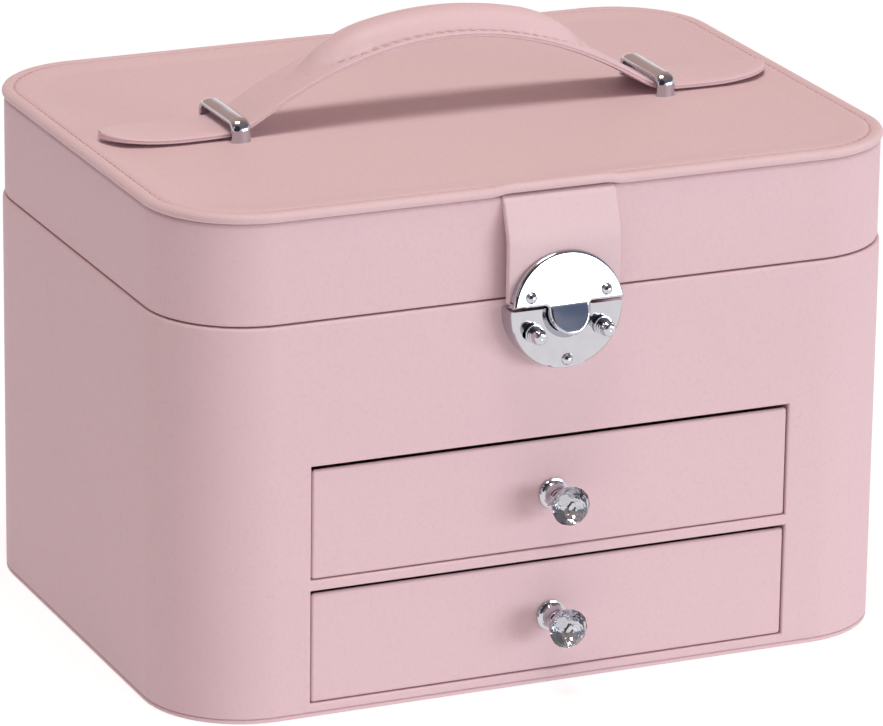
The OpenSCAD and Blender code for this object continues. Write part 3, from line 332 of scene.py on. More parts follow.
# The walls: 5 mm board bent round the corners and wrapped in leather that is turned over the top
# edge. Two openings for the drawers are cut in the front, their edges wrapped and rounded.
wall = 5.0
seam_z = 123.8
base_t = 1.6
opening_half = 78.6
openings = ((4.3, 40.1), (43.4, 79.2))
front_zone = -80.0


def slit(bm, faces, spot, facing):
    """Cuts faces along a plane, with nothing taken away."""
    near = {g for f in faces for g in (f, *f.edges, *f.verts)}
    bmesh.ops.bisect_plane(bm, geom=list(near), dist=1e-4, plane_co=spot, plane_no=facing)


def rounded(bm, edges, offset, segments):
    bmesh.ops.bevel(
        bm, geom=edges, offset=offset, segments=segments, profile=0.5, affect="EDGES", material=-1,
    )


def cut_window(bm, x0, x1, z0, z1, y_limit):
    """Cuts a window through the front wall and lines it, and gives back its outer rim."""
    def front():
        upright = [f for f in bm.faces if abs(f.normal.y) > 0.99]
        return [f for f in upright if f.calc_center_median().y < y_limit]

    def inside(m):
        return x0 < m.x < x1 and z0 < m.z < z1

    planes = [((x, 0, 0), (1, 0, 0)) for x in (x0, x1)]
    planes += [((0, 0, z), (0, 0, 1)) for z in (z0, z1)]
    for spot, facing in planes:
        slit(bm, front(), spot, facing)
    gone = [f for f in front() if inside(f.calc_center_median())]
    bmesh.ops.delete(bm, geom=gone, context="FACES")
    rim = [e for e in bm.edges if e.is_boundary]
    bmesh.ops.bridge_loops(bm, edges=rim)
    outer = min(v.co.y for e in rim for v in e.verts)
    return [e for e in rim if all(abs(v.co.y - outer) < 1e-3 for v in e.verts)]


def turned_over(low, high, thick, round_low, round_high):
    """The closed section of a wrapped wall, rounded at its lower and upper edges."""
    def quarter(inset, z, r, start):
        arc = [math.radians(start + a) for a in (0, 30, 60, 90)]
        return [(inset - r * math.cos(a), z + r * math.sin(a)) for a in arc]
    return (
        quarter(round_low, low + round_low, round_low, -90)
        + quarter(round_high, high - round_high, round_high, 0)
        + quarter(thick - round_high, high - round_high, round_high, 90)
        + quarter(thick - round_low, low + round_low, round_low, 180)
    )


bm = bmesh.new()
sweep_round(bm, turned_over(base_t, seam_z, wall, 0.5, 1.0), case_half, corner, closed=True)
rims = [cut_window(bm, -opening_half, opening_half, z0, z1, front_zone) for z0, z1 in openings]
rounded(bm, [e for rim in rims for e in rim], 0.7, 3)
bmesh.ops.recalc_face_normals(bm, faces=bm.faces)
piece("case_walls", bm, "case", wrap_leather, "pink_leather", "body_shell")

# The boards inside the case: floor, bay walls and shelf, of plain board lined with pink paper and
# glued between the walls. They are the CAD solids with a fibrous paper on them.
fibre_paper, tree = new_material("fibre_paper")
place = tree.nodes.new("ShaderNodeTexCoord").outputs["Object"]
fibres = node(tree, "ShaderNodeTexNoise", Vector=place, Scale=900.0, Detail=5.0, Roughness=0.7)
blotch = node(tree, "ShaderNodeTexNoise", Vector=place, Scale=60.0, Detail=2.0)
paper = mix_colour(tree, blotch.outputs["Fac"], (0.56, 0.37, 0.385, 1), (0.66, 0.45, 0.46, 1))
flecks = reckon(tree, "MULTIPLY", fibres.outputs["Fac"], 0.3)
paper = mix_colour(tree, flecks, paper, (0.74, 0.56, 0.56, 1))
bump = node(tree, "ShaderNodeBump", Strength=0.25, Distance=0.00006, Height=fibres.outputs["Fac"])
shader = node(
    tree, "ShaderNodeBsdfPrincipled", Base_Color=paper, Roughness=0.78, Normal=bump.outputs[0],
)
node(tree, "ShaderNodeOutputMaterial", Surface=shader.outputs[0])


def dress(finish, *nodes):
    for name in nodes:
        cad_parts[name].material_slots[0].material = finish


dress(fibre_paper, "floor_board", "bay_wall_left", "bay_wall_right", "drawer_shelf")

# The tray under the lid: a velvet-covered floor, a collar that stands up into the lid, dividers and
# a block for the rings. Velvet is glued over thin board, so every edge is soft, and its pile
# catches light at a slant.
velvet_cream = (0.80, 0.66, 0.60, 1)
tray_half = (112.85, 81.85)
tray_z = 82.2
collar_half = (114.85, 83.85)
collar_corner = 25.85
collar_up = 7.0
divider_x = 39.5
divider_half = 1.5
divider_h = 32.0
block_half = 38.0
block_h = 18.0

pile, given, asked = new_group(
    "velvet_pile",
    {"Vector": "NodeSocketVector", "Strands": "NodeSocketFloat"},
    {"Height": "NodeSocketFloat", "Brushed": "NodeSocketFloat"},
)
strand = node(
    pile, "ShaderNodeTexNoise", Vector=given.outputs["Vector"], Scale=given.outputs["Strands"],
    Detail=3.0, Roughness=0.65,
)
pile.links.new(strand.outputs["Fac"], asked.inputs["Height"])
nap = node(
    pile, "ShaderNodeTexNoise", Vector=given.outputs["Vector"], Scale=38.0, Detail=3.0,
    Distortion=0.8,
)
pile.links.new(ramp(pile, nap.outputs["Fac"], 0.35, 0.65), asked.inputs["Brushed"])


def velvet(name, colour, strands):
    made, tree = new_material(name)
    place = tree.nodes.new("ShaderNodeTexCoord").outputs["Object"]
    nap = use_group(tree, pile, Vector=place, Strands=strands)
    cloth = mix_colour(tree, nap.outputs["Brushed"], shaded(colour, 0.86), colour)
    roots = reckon(tree, "MULTIPLY", nap.outputs["Height"], 0.35)
    cloth = mix_colour(tree, roots, cloth, shaded(colour, 0.7))
    bump = node(
        tree, "ShaderNodeBump", Strength=0.6, Distance=0.00015, Height=nap.outputs["Height"],
    )
    shader = node(
        tree, "ShaderNodeBsdfPrincipled", Base_Color=cloth, Roughness=0.92, Normal=bump.outputs[0],
        Sheen_Weight=0.55, Sheen_Roughness=0.4, Sheen_Tint=(1.0, 0.95, 0.92, 1),
        Specular_IOR_Level=0.15,
    )
    node(tree, "ShaderNodeOutputMaterial", Surface=shader.outputs[0])
    return made


cream_velvet = velvet("cream_velvet", velvet_cream, 1500.0)
dress(cream_velvet, "tray_floor")


def box(bm, low, high):
    """A box between two corners, and its corners."""
    size = Vector(high) - Vector(low)
    place = Matrix.Translation((Vector(low) + Vector(high)) / 2) @ Matrix.Diagonal((*size, 1))
    return bmesh.ops.create_cube(bm, size=1, matrix=place)["verts"]


def soft_box(bm, low, high, edge):
    """A box with rounded edges between two corners."""
    edges = {e for v in box(bm, low, high) for e in v.link_edges}
    rounded(bm, list(edges), edge, 3)


collar = turned_over(tray_z, seam_z + collar_up, 2.0, 0.2, 0.9)
bm = bmesh.new()
sweep_round(bm, collar, collar_half, collar_corner, closed=True)
piece("tray_collar_velvet", bm, "case", cream_velvet, "velvet", "tray_collar")

bm = bmesh.new()
for x in (-divider_x, divider_x):
    low = (x - divider_half, -tray_half[1], tray_z)
    soft_box(bm, low, (x + divider_half, tray_half[1], tray_z + divider_h), 1.1)
piece("tray_dividers_velvet", bm, "case", cream_velvet, "velvet", "tray_dividers")

bm = bmesh.new()
for side in (-1, 1):
    middle = side * (divider_x + divider_half + tray_half[0]) / 2
    reach = (tray_half[0] - divider_x - divider_half) / 2
    low = (middle - reach, -divider_half, tray_z)
    soft_box(bm, low, (middle + reach, divider_half, tray_z + divider_h), 1.1)
piece("tray_cross_dividers_velvet", bm, "case", cream_velvet, "velvet", "tray_cross_dividers")

bm = bmesh.new()
low = (-block_half, -tray_half[1], tray_z)
soft_box(bm, low, (block_half, tray_half[1], tray_z + block_h), 0.8)
piece("ring_block_velvet", bm, "case", cream_velvet, "velvet", "ring_riser")

# The ring section: ten foam rolls sewn into velvet sleeves. They stand side by side on the block,
# a little swollen, flat underneath, and rings are held in the slits between them.
roll_count = 10
roll_r = 7.7
roll_pitch = 16.0
roll_half = 37.4
roll_room = 7.85
roll_swell = 0.018
block_top = tray_z + block_h
roll_z = block_top + roll_r * 2 / 3
roll_end = [
    (0, roll_half - 0.4), (4.6, roll_half), (6.6, roll_half - 0.9), (7.45, roll_half - 2.6),
    (roll_r, roll_half - 6),
]

bm = bmesh.new()
for i in range(roll_count):
    outline = roll_end + [(7.62 + 0.08 * math.cos(x * 0.4 + i), x) for x in range(26, -27, -4)]
    outline += [(r, -x) for r, x in reversed(roll_end)]
    dots, line = joined(bm, [(x, r, 0) for r, x in outline], closed=False)
    bmesh.ops.spin(
        bm, geom=dots + line, cent=(0, 0, 0), axis=(1, 0, 0), angle=math.tau, steps=28,
        use_merge=True,
    )
    for v in [v for v in bm.verts if not v.tag]:
        v.tag = True
        spot = Vector((v.co.x * 0.06, v.co.y * 0.12, v.co.z * 0.12 + 7.3 * i))
        swell = 1 + roll_swell * noise.noise(spot)
        middle = (i - (roll_count - 1) / 2) * roll_pitch
        v.co.y = max(-roll_room, min(roll_room, v.co.y * swell)) + middle
        v.co.z = max(block_top, roll_z + v.co.z * swell)
bmesh.ops.remove_doubles(bm, verts=bm.verts, dist=1e-3)
bmesh.ops.recalc_face_normals(bm, faces=bm.faces)
rolls = piece(
    "ring_rolls_velvet", bm, "case", cream_velvet, "velvet", "ring_rolls", sharp=60, even=False,
)

# The lower half of the lock: a hollow die-cast dish, plated bright, riveted to the front wall. A
# plate behind it, two slides and a spring make its mechanism, and two turned knobs work the slides.
polish, given, asked = new_group(
    "polish_marks",
    {"Vector": "NodeSocketVector", "Marks": "NodeSocketFloat"},
    {"Smear": "NodeSocketFloat", "Wave": "NodeSocketFloat"},
)
smear = node(
    polish, "ShaderNodeTexNoise", Vector=given.outputs["Vector"], Scale=given.outputs["Marks"],
    Detail=4.0,
)
polish.links.new(ramp(polish, smear.outputs["Fac"], 0.35, 0.75), asked.inputs["Smear"])
swing = node(polish, "ShaderNodeTexNoise", Vector=given.outputs["Vector"], Scale=55.0, Detail=1.0)
polish.links.new(swing.outputs["Fac"], asked.inputs["Wave"])


def metal(name, colour, rough, marks, wave):
    made, tree = new_material(name)
    place = tree.nodes.new("ShaderNodeTexCoord").outputs["Object"]
    hand = use_group(tree, polish, Vector=place, Marks=marks)
    gloss = node(
        tree, "ShaderNodeMapRange", Value=hand.outputs["Smear"], To_Min=rough, To_Max=rough * 1.9,
    )
    tint = mix_colour(tree, hand.outputs["Smear"], colour, shaded(colour, 0.94))
    bump = node(tree, "ShaderNodeBump", Strength=1.0, Distance=wave, Height=hand.outputs["Wave"])
    shader = node(
        tree, "ShaderNodeBsdfPrincipled", Base_Color=tint, Metallic=1.0, Roughness=gloss.outputs[0],
        Normal=bump.outputs[0],
    )
    node(tree, "ShaderNodeOutputMaterial", Surface=shader.outputs[0])
    return made


bright_chrome = metal("bright_chrome", (0.585, 0.59, 0.635, 1), 0.04, 220.0, 0.0005)
plated_steel = metal("plated_steel", (0.50, 0.495, 0.49, 1), 0.22, 800.0, 0.0003)
dress(bright_chrome, "lock_plate", "lock_rivet", "lock_knob_left", "lock_knob_right")
dress(plated_steel, "lock_back_plate", "lock_spring", "lock_slide_left", "lock_slide_right")

# The hinges: two pressed steel butts on the back, five knuckles each round a loose pin, screwed to
# the case and to the lid with countersunk screws.
for side in ("left", "right"):
    dress(plated_steel, "hinge_leaf_case_" + side, "hinge_leaf_lid_" + side, "hinge_pin_" + side)
dress(plated_steel, "hinge_screws_case", "hinge_screws_lid")

# The lid: walls of wrapped board like the case's, standing a little behind them, with a board
# across the top. The leather is turned over its lower edge at the seam.
lid_half = (119.3, 88.3)
lid_corner = 30.3
lid_low = 124.1
lid_top = 155.4
lid_wall = 3.6
lid_board = 4.0
bm = bmesh.new()
section = [(lid_wall, lid_top - lid_board), (lid_wall, lid_low + 1.0), (3.33, lid_low + 0.33)]
section += [(2.6, lid_low), (1.0, lid_low), (0.27, lid_low + 0.33), (0, lid_low + 1.0)]
section += [(0, lid_top - 1.3), (0.2, lid_top - 0.7), (0.7, lid_top - 0.2), (1.4, lid_top)]
sweep_round(bm, section, lid_half, lid_corner, closed=False)
piece("lid_walls", bm, "lid", wrap_leather, "pink_leather", "lid_frame")

# The top panel: thin foam over board under a sheet of leather, rolled over at the edge, sewn down
# all round by one row of stitches and lifted a little where the lock's tab comes out from under it.
# The panel's leather is a slightly darker, warmer copy of the walls' leather, so part of the lid
# top's shade is painted into its colour.
panel_leather_shaded = leather("panel_leather_shaded", (0.722, 0.548, 0.580, 1), rough=0.46)
panel_t = 3.0
panel_top = lid_top + panel_t
edge_r = panel_t / 2
fall_run = 10.0
fall = 0.45
seam_in = 4.0
tab_half = 18.25
lip_lift = 0.8
lip_margin = 3.2
lip_ramp = 5.5
lip_depth = 9.0


def smooth(t):
    t = max(0.0, min(1.0, t))
    return t * t * (3 - 2 * t)


def lip_share(x):
    return smooth((tab_half + lip_margin - abs(x)) / lip_ramp)


bm = bmesh.new()
turn = [math.radians(a) for a in range(-75, 90, 30)]
section = [(3.0, lid_top), (1.2, lid_top)]
section += [(edge_r * (1 - math.cos(a)), lid_top + edge_r * (1 + math.sin(a))) for a in turn]
for inset, down in (
    (2.3, -0.05), (3.2, 0.1), (3.7, 0.4), (seam_in, 0.5), (4.3, 0.4), (4.8, 0.12), (5.4, 0.02),
):
    section.append((inset, panel_top - down))
for t in (1.5, 3, 4.5, 6, 7.5, 9, 10):
    section.append((4.75 + t, panel_top - fall * (1 - math.cos(math.pi * t / fall_run))))
lip_stops = (6, 11, 14, 16, 17.5, 19, 20.5, 22.5, 26, 34)
sweep_round(bm, section, case_half, corner, closed=False, stops=lip_stops)
for v in bm.verts:
    if v.co.y < 0:
        back = smooth(1 - (v.co.y + case_half[1]) / lip_depth)
        v.co.z += lip_lift * lip_share(v.co.x) * back
panel = piece("lid_panel_padded", bm, "lid", panel_leather_shaded, "pink_leather", "lid_panel", sharp=60)

thread, tree = new_material("pink_thread")
place = tree.nodes.new("ShaderNodeTexCoord").outputs["Object"]
twist = node(tree, "ShaderNodeTexWave", Vector=place, Scale=900.0, Distortion=1.0)
ply = mix_colour(tree, twist.outputs["Fac"], (0.63, 0.45, 0.475, 1), (0.75, 0.56, 0.59, 1))
bump = node(tree, "ShaderNodeBump", Strength=0.5, Distance=0.00008, Height=twist.outputs["Fac"])
shader = node(
    tree, "ShaderNodeBsdfPrincipled", Base_Color=ply, Roughness=0.6, Normal=bump.outputs[0],
)
node(tree, "ShaderNodeOutputMaterial", Surface=shader.outputs[0])
thread_t = 0.55


def stitch(bm, middle, along, length):
    """One stitch of thread, a slim grain of few faces lying along a direction."""
    lie = Vector(along).to_track_quat("X", "Z").to_matrix().to_4x4()
    shape = Matrix.Diagonal((length / 2, thread_t / 2, thread_t * 0.42, 1))
    shape = Matrix.Translation(middle) @ lie @ shape @ Matrix.Rotation(math.pi / 2, 4, "Y")
    bmesh.ops.create_uvsphere(bm, u_segments=6, v_segments=4, radius=1, matrix=shape)


def walk_round(half, radius, pitch):
    """Points and directions at an even pitch round a plan with rounded corners."""
    straight = (2 * (half[0] - radius), 2 * (half[1] - radius))
    legs = [(straight[k % 2], radius * math.pi / 2) for k in range(4)]
    total = sum(a + b for a, b in legs)
    count = round(total / pitch)
    for n in range(count):
        s = total * n / count
        for k, (run, bend) in enumerate(legs):
            if s <= run + bend:
                break
            s -= run + bend
        turn = Matrix.Rotation(k * math.pi / 2, 3, "Z")
        hx, hy = (half[0], half[1]) if k % 2 == 0 else (half[1], half[0])
        if s <= run:
            spot, way = Vector((s - hx + radius, -hy, 0)), Vector((1, 0, 0))
        else:
            a = (s - run) / radius
            x, y = hx - radius + radius * math.sin(a), -hy + radius - radius * math.cos(a)
            spot, way = Vector((x, y, 0)), Vector((math.cos(a), math.sin(a), 0))
        yield turn @ spot, turn @ way


seam_half = (case_half[0] - seam_in, case_half[1] - seam_in)
seam_pitch = 3.3
seam_sunk = 0.36
seam_lift = 0.584 * lip_lift
bm = bmesh.new()
for spot, way in walk_round(seam_half, corner - seam_in, seam_pitch):
    lift = seam_lift * lip_share(spot.x) if spot.y < 0 else 0.0
    stitch(bm, spot + Vector((0, 0, panel_top - seam_sunk + lift)), way, 2.5)
piece("lid_panel_stitches", bm, "lid", thread, "pink_leather", sharp=80, even=False)

# The lid's lining: a velvet-covered board pressed up into the lid, with a pocket that holds a
# silvered glass mirror with a ground edge.
lining_z = 147.6
lining_half = (115.55, 84.55)
lining_corner = 26.55
pocket_half = (84.2, 56.2)
pocket_deep = 2.0
mirror_half = (84.0, 56.0)
mirror_t = 1.5
mirror_edge = 6.0


def facing_down(bm):
    return [f for f in bm.faces if f.normal.z < -0.99]


section = [
    (inset, lining_z + up) for inset, up in ((0.6, 3.0), (0, 2.6), (0, 0.9), (0.3, 0.25), (1.0, 0))
]
bm = bmesh.new()
sweep_round(bm, section, lining_half, lining_corner, closed=False)
for side in (-1, 1):
    slit(bm, facing_down(bm), (side * pocket_half[0], 0, 0), (1, 0, 0))
for side in (-1, 1):
    slit(bm, facing_down(bm), (0, side * pocket_half[1], 0), (0, 1, 0))
pocket = []
for f in facing_down(bm):
    middle = f.calc_center_median()
    if abs(middle.x) < pocket_half[0] and abs(middle.y) < pocket_half[1]:
        pocket.append(f)
deep = bmesh.ops.extrude_face_region(bm, geom=pocket)["geom"]
bmesh.ops.translate(bm, verts=of_type(deep, bmesh.types.BMVert), vec=(0, 0, pocket_deep))
bmesh.ops.delete(bm, geom=pocket, context="FACES")
bmesh.ops.recalc_face_normals(bm, faces=bm.faces)
piece("lid_lining_velvet", bm, "lid", cream_velvet, "velvet", "lid_lining")

mirror_glass, tree = new_material("mirror_glass")
place = tree.nodes.new("ShaderNodeTexCoord").outputs["Object"]
haze = use_group(tree, polish, Vector=place, Marks=40.0)
silver = mix_colour(tree, haze.outputs["Smear"], (0.90, 0.915, 0.92, 1), (0.86, 0.885, 0.89, 1))
gloss = node(tree, "ShaderNodeMapRange", Value=haze.outputs["Smear"], To_Min=0.01, To_Max=0.035)
shader = node(
    tree, "ShaderNodeBsdfPrincipled", Base_Color=silver, Metallic=1.0, Roughness=gloss.outputs[0],
)
node(tree, "ShaderNodeOutputMaterial", Surface=shader.outputs[0])
bm = bmesh.new()
back_z = lining_z + pocket_deep
low = (-mirror_half[0], -mirror_half[1], back_z - mirror_t)
box(bm, low, (*mirror_half, back_z))
face = facing_down(bm)
bmesh.ops.inset_region(bm, faces=face, thickness=mirror_edge)
bmesh.ops.translate(bm, verts=face[0].verts, vec=(0, 0, -0.5))
piece("lid_mirror_ground", bm, "lid", mirror_glass, "mirror", "lid_mirror", sharp=2, even=False)

# The handle: a leather strap of two layers, folded in at the edges, with a padded grip sewn down
# along both sides. It arches up between the loops, and its free tongues lie on the lid beyond them.
# The strap's leather is a darker copy of the walls' leather: painted shade that offsets the
# stronger light on the grip's top.
strap_leather_shaded = leather("strap_leather_shaded", (0.725, 0.546, 0.584, 1), cells=1250.0, rough=0.42)
strap_z = 157.7
strap_t = 2.3
strap_w = 22.0
strap_reach = 111.5
arch_h, arch_half, arch_ease = 24.0, 69.0, 2.4
tip_run, tip_lift = 27.0, 1.5
taper_run = 21.5
grip_half = 50.0
grip_full = 24.0
pad_half = 8.1
pad_h = 6.2
strap_stitch = 3.5


def strap_rise(x):
    p = arch_h * (1 - (x / arch_half) ** 2)
    lift = max(0.0, abs(x) - strap_reach + tip_run) / tip_run
    return (p + math.sqrt(p * p + arch_ease ** 2)) / 2 + tip_lift * lift * lift


def strap_half(x):
    t = max(0.0, abs(x) - strap_reach + taper_run) / taper_run
    return strap_w / 2 * math.sqrt(max(0.02, 1 - t * t))


def grip_share(x):
    t = min(1.0, max(0.0, abs(x) - grip_full) / (grip_half - grip_full))
    return 1 - t * t


def squared(wave, power):
    """A sine or cosine drawn out towards a square wave."""
    return math.copysign(abs(wave) ** power, wave)


def on_strap(x, y, h):
    """The place of a point of the strap at a height square to its path."""
    slope = (strap_rise(x + 0.1) - strap_rise(x - 0.1)) / 0.2
    norm = math.hypot(1, slope)
    return Vector((x - h * slope / norm, y, strap_z + strap_rise(x) + h / norm))


bm = bmesh.new()
bmesh.ops.create_cone(bm, cap_ends=True, segments=40, radius1=1, radius2=1, depth=2)
sides = [e for e in bm.edges if abs(e.verts[0].co.z - e.verts[1].co.z) > 1]
bmesh.ops.subdivide_edges(bm, edges=sides, cuts=150, use_grid_fill=True)
for v in bm.verts:
    x = strap_reach * math.sin(v.co.z * math.pi / 2)
    a = math.atan2(v.co.y, v.co.x)
    y = strap_half(x) * squared(math.cos(a), 0.55)
    h = 0.5 + 0.5 * squared(math.sin(a), 0.5)
    full = grip_share(x)
    bulge = 0.0
    if math.sin(a) > 0:
        bulge = max(0.0, 1 - (y / (pad_half * max(0.2, full))) ** 2) ** 0.62
    seam = 0.3 if abs(math.sin(a)) < 0.05 else 0.0
    v.co = on_strap(x, y - math.copysign(seam, y), h * strap_t + bulge * pad_h * full)
bmesh.ops.recalc_face_normals(bm, faces=bm.faces)
strap = piece(
    "handle_strap_padded", bm, "lid", strap_leather_shaded, "pink_leather", "handle_strap", sharp=60,
    even=False,
)

bm = bmesh.new()
for side in (-1, 1):
    for n in range(-14, 15):
        before, here, after = [
            on_strap(x, side * (0.9 + pad_half * grip_share(x)), strap_t + 0.02)
            for x in (n * strap_stitch - 0.5, n * strap_stitch, n * strap_stitch + 0.5)
        ]
        stitch(bm, here, after - before, 2.6)
piece("handle_stitches", bm, "lid", thread, "pink_leather", sharp=80, even=False)

# The loops: flat half-round bars of chromed steel bent into staples over the strap. Their legs go
# through the panel and the lid board and are clinched over washers underneath.
bar_half = 3.0
bar_t = 2.5
bar_top = 164.8
loop_x = 71.0
loop_out = 15.0
leg_low = 152.0
bend_r = 4.0
turn_y = loop_out - bend_r
turn_z = bar_top - bend_r
half_bar = [(0.5 - bar_half, 0), (-bar_half, 0.5), (-bar_half, 1.2)]
half_bar += [(0.45 - bar_half, 1.8), (-1.5, 2.28)]
bar = half_bar + [(0, bar_t)] + [(-x, h) for x, h in reversed(half_bar)]
for x, name in ((-loop_x, "left"), (loop_x, "right")):
    bm = bmesh.new()
    foot = [(x + dx, -loop_out + bar_t - h, leg_low) for dx, h in bar]
    line = joined(bm, foot, closed=True)[1]
    bmesh.ops.contextual_create(bm, geom=line)
    line = drawn_out(bm, line, (0, 0, turn_z - leg_low))
    for y, way in ((-turn_y, (0, 2 * turn_y, 0)), (turn_y, (0, 0, leg_low - turn_z))):
        line = spun(bm, line, (0, y, turn_z), (-1, 0, 0), math.pi / 2, 8)
        line = drawn_out(bm, line, way)
    bmesh.ops.contextual_create(bm, geom=line)
    bmesh.ops.remove_doubles(bm, verts=bm.verts, dist=1e-4)
    bmesh.ops.recalc_face_normals(bm, faces=bm.faces)
    solid = "handle_loop_" + name
    piece("handle_loop_bar_" + name, bm, "lid", bright_chrome, "chrome", solid, sharp=50)
dress(plated_steel, "loop_washers")

# The lock's tab: a strip of doubled leather held under the panel, bent over the lid's edge and
# leaning out to the lock in front of it, its long edges painted and slightly rounded.
tab_leather = leather("tab_leather", (0.722, 0.568, 0.610, 1), cells=1200.0, rough=0.46)
tab_t = 2.4
tab_low = 123.7
tab_back = -82.0
tab_dip = 0.48
lean = math.radians(22)
lean_run = 7.073
bend, bend_y, bend_z = 1.0, -86.8, 152.4
knee_y, knee_z = -74.8, 139.923
across, down = 8, 6
bm = bmesh.new()
columns = [tab_half * (2 * k / across - 1) for k in range(across + 1)]
line = joined(bm, [(x, tab_back, bend_z + bend - tab_dip) for x in columns], closed=False)[1]
line = drawn_out(bm, line, (0, bend_y - tab_back, tab_dip))
line = spun(bm, line, (0, bend_y, bend_z), (1, 0, 0), math.pi / 2 - lean, 8)
line = drawn_out(bm, line, (0, -lean_run * math.sin(lean), -lean_run * math.cos(lean)))
line = spun(bm, line, (0, knee_y, knee_z), (1, 0, 0), lean, 8)
for k in range(down):
    line = drawn_out(bm, line, (0, 0, (tab_low - knee_z) / down))
bmesh.ops.recalc_face_normals(bm, faces=bm.faces)
if sum(f.normal.y for f in bm.faces) > 0:
    bmesh.ops.reverse_faces(bm, faces=bm.faces)
bmesh.ops.solidify(bm, geom=bm.faces[:], thickness=-tab_t)
bmesh.ops.recalc_face_normals(bm, faces=bm.faces)
crisp = [e for e in bm.edges if len(e.link_faces) == 2 and e.calc_face_angle() > 1.2]
rounded(bm, crisp, 0.6, 3)
piece("lock_tab_strip", bm, "lid", tab_leather, "pink_leather", "lock_tab")

# The upper half of the lock: a bright plated plate on the tab, leaning back above its lower edge,
# with a tongue that drops into the notch of the lower half and flares out to be lifted. Two domed
# rivets hold it.
lock_z = 120.9
hasp_back, hasp_face = -94.0, -97.8
hasp_r = 18.2
hasp_low = 2.3
shoulder = 1.3
tongue_r = 6.5
tilt = math.tan(math.radians(9))
flare_up, flare_ease, flare = 3.1, 1.2, 0.242


def arc(x, up, r, start, sweep, steps):
    """Points on an arc, its angles in degrees from the right."""
    angles = [math.radians(start + sweep * k / steps) for k in range(steps + 1)]
    return [(x + r * math.cos(a), up + r * math.sin(a)) for a in angles]


ease = arc(-tongue_r - shoulder, hasp_low - shoulder, shoulder, 90, -90, 6)
outline = arc(0, 0, hasp_r, 7.26, 165.48, 40) + ease + arc(0, 0, tongue_r, 180, 180, 24)
outline += [(-x, up) for x, up in reversed(ease)]
bm = bmesh.new()
line = joined(bm, [(x, hasp_back, lock_z + up) for x, up in outline], closed=True)[1]
blank = bmesh.ops.contextual_create(bm, geom=line)["faces"]
front = of_type(bmesh.ops.extrude_face_region(bm, geom=blank)["geom"], bmesh.types.BMVert)
bmesh.ops.translate(bm, verts=front, vec=(0, hasp_face - hasp_back, 0))
bmesh.ops.recalc_face_normals(bm, faces=bm.faces)
crisp = [e for e in bm.edges if all(abs(v.co.y - hasp_face) < 1e-3 for v in e.verts)]
rounded(bm, crisp, 1.0, 4)
for up in (flare_up, 2.7, hasp_low, 1.9, 1.2, 0.4, -0.8, -2.0, -3.2, -4.4, -5.3):
    slit(bm, bm.faces, (0, 0, lock_z + up), (0, 0, 1))
for v in bm.verts:
    if v.co.y < hasp_back - 1:
        below = lock_z + flare_up - v.co.z
        bowed = max(0.0, below) ** 2 / (2 * flare_ease)
        out = below - flare_ease / 2 if below > flare_ease else bowed
        v.co.y -= (below - flare_up + hasp_low) * tilt + flare * out
bmesh.ops.recalc_face_normals(bm, faces=bm.faces)
piece("hasp_plate_flared", bm, "lid", bright_chrome, "chrome", "hasp_plate", sharp=30)
dress(bright_chrome, "hasp_rivets")

# The drawers: wrapped fronts, chamfered behind their upper edge to clear the opening, on open boxes
# of paper-covered board, lined with velvet and parted by two velvet-covered dividers.
drawer_half = 77.8
front_half = 78.15
front_y = -88.5
front_chamfer = 2.8
tray_front = -82.5
tray_back = 83.4
box_h = 28.0
box_t = 2.5
velvet_t = 1.0
parting_x = 24.77
parting_half = 1.25
parting_up = 22.5


def open_box(bm, low, high, wall, edge):
    """A box open at the top with walls and a floor of one thickness, its edges eased."""
    box(bm, low, high)
    top = [f for f in bm.faces if f.normal.z > 0.99]
    bmesh.ops.inset_region(bm, faces=top, thickness=wall)
    sunk = bmesh.ops.extrude_face_region(bm, geom=top)["geom"]
    depth = wall - (high[2] - low[2])
    bmesh.ops.translate(bm, verts=of_type(sunk, bmesh.types.BMVert), vec=(0, 0, depth))
    bmesh.ops.delete(bm, geom=top, context="FACES")
    bmesh.ops.recalc_face_normals(bm, faces=bm.faces)
    rounded(bm, [e for e in bm.edges if e.calc_face_angle(0) > 1], edge, 2)


for level, z0, front_h in (("lower", 4.55, 34.5), ("upper", 43.65, 34.3)):
    body = "drawer_" + level
    bm = bmesh.new()
    soft_box(bm, (-front_half, front_y, z0), (front_half, tray_front, z0 + front_h), 0.9)
    for v in bm.verts:
        if v.co.y > tray_front - 1 and v.co.z > z0 + front_h / 2:
            v.co.z -= front_chamfer
    solid = "drawer_front_" + level
    piece("drawer_front_wrap_" + level, bm, body, wrap_leather, "pink_leather", solid)
    bm = bmesh.new()
    low = (-drawer_half, tray_front, z0)
    open_box(bm, low, (drawer_half, tray_back, z0 + box_h), box_t, 0.35)
    piece("drawer_box_" + level, bm, body, fibre_paper, "board", "drawer_tray_" + level)
    bm = bmesh.new()
    inner = drawer_half - box_t
    low = (-inner, tray_front + box_t, z0 + box_t)
    open_box(bm, low, (inner, tray_back - box_t, z0 + box_h), velvet_t, 0.3)
    piece("drawer_velvet_" + level, bm, body, cream_velvet, "velvet", "drawer_lining_" + level)
    bm = bmesh.new()
    skin = box_t + velvet_t
    for x in (-parting_x, parting_x):
        low = (x - parting_half, tray_front + skin, z0 + skin)
        soft_box(bm, low, (x + parting_half, tray_back - skin, z0 + parting_up), 0.9)
    solid = "drawer_dividers_" + level
    piece("drawer_dividers_velvet_" + level, bm, body, cream_velvet, "velvet", solid)

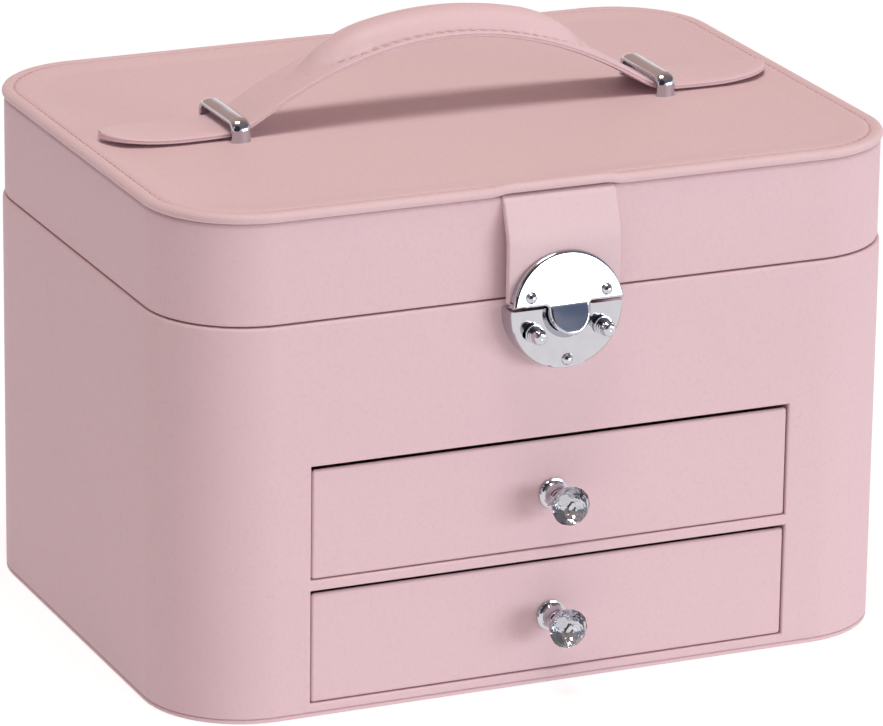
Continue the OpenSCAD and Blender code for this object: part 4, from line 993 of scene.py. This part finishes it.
# The pulls: turned and plated feet screwed on from inside, each with a cut crystal in its cup. The
# crystal's cut back is silvered, so that its facets flash white and dark and no pink shows through.
stone_cut = ((0, 2.6), (1.6, 4.95), (3.2, 6.1), (3.9, 6.1), (5.4, 4.2), (6.6, 2.7), (7.5, 1.6))
foil_cut = ((4.0, 5.85), (5.35, 4.0), (6.5, 2.6), (7.3, 1.45))
facets = 12

crystal_glass, tree = new_material("crystal_glass")
place = tree.nodes.new("ShaderNodeTexCoord").outputs["Object"]
film = use_group(tree, polish, Vector=place, Marks=160.0)
water = mix_colour(tree, film.outputs["Smear"], (1.0, 1.0, 1.0, 1), (0.955, 0.97, 0.985, 1))
gloss = node(tree, "ShaderNodeMapRange", Value=film.outputs["Smear"], To_Min=0.0, To_Max=0.012)
shader = node(
    tree, "ShaderNodeBsdfPrincipled", Base_Color=water, Roughness=gloss.outputs[0], IOR=1.62,
    Transmission_Weight=1.0,
)
node(tree, "ShaderNodeOutputMaterial", Surface=shader.outputs[0])


def gem(bm, middle, rings, caps):
    """Rings of corners one behind another, each turned by half a facet, joined by triangles."""
    made = []
    for n, (back, radius) in enumerate(rings):
        ring = [(radius, math.tau * (k + n % 2 / 2) / facets) for k in range(facets)]
        ring = [Vector((r * math.cos(a), back, r * math.sin(a))) for r, a in ring]
        made.append([bm.verts.new(middle + spot) for spot in ring])
    for n, (near, far) in enumerate(zip(made, made[1:])):
        for k in range(facets):
            j = (k + 1) % facets
            bm.faces.new((near[k], near[j], far[j] if n % 2 else far[k]))
            bm.faces.new((near[k] if n % 2 else near[j], far[j], far[k]))
    for ring in (made[-1], made[0])[:caps]:
        bm.faces.new(ring)
    bmesh.ops.recalc_face_normals(bm, faces=bm.faces)


for level in ("lower", "upper"):
    body = "drawer_" + level
    dress(bright_chrome, "pull_base_" + level)
    dress(plated_steel, "pull_screw_" + level)
    solid = "pull_crystal_" + level
    corners = [Vector(c) * 1000 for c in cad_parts[solid].bound_box]
    middle = sum(corners, Vector()) / 8
    middle.y = min(c.y for c in corners)
    bm = bmesh.new()
    gem(bm, middle, stone_cut, 2)
    piece("pull_stone_" + level, bm, body, crystal_glass, "crystal", solid, sharp=1, even=False)
    bm = bmesh.new()
    gem(bm, middle, foil_cut, 1)
    piece("pull_foil_" + level, bm, body, bright_chrome, "chrome", sharp=1, even=False)
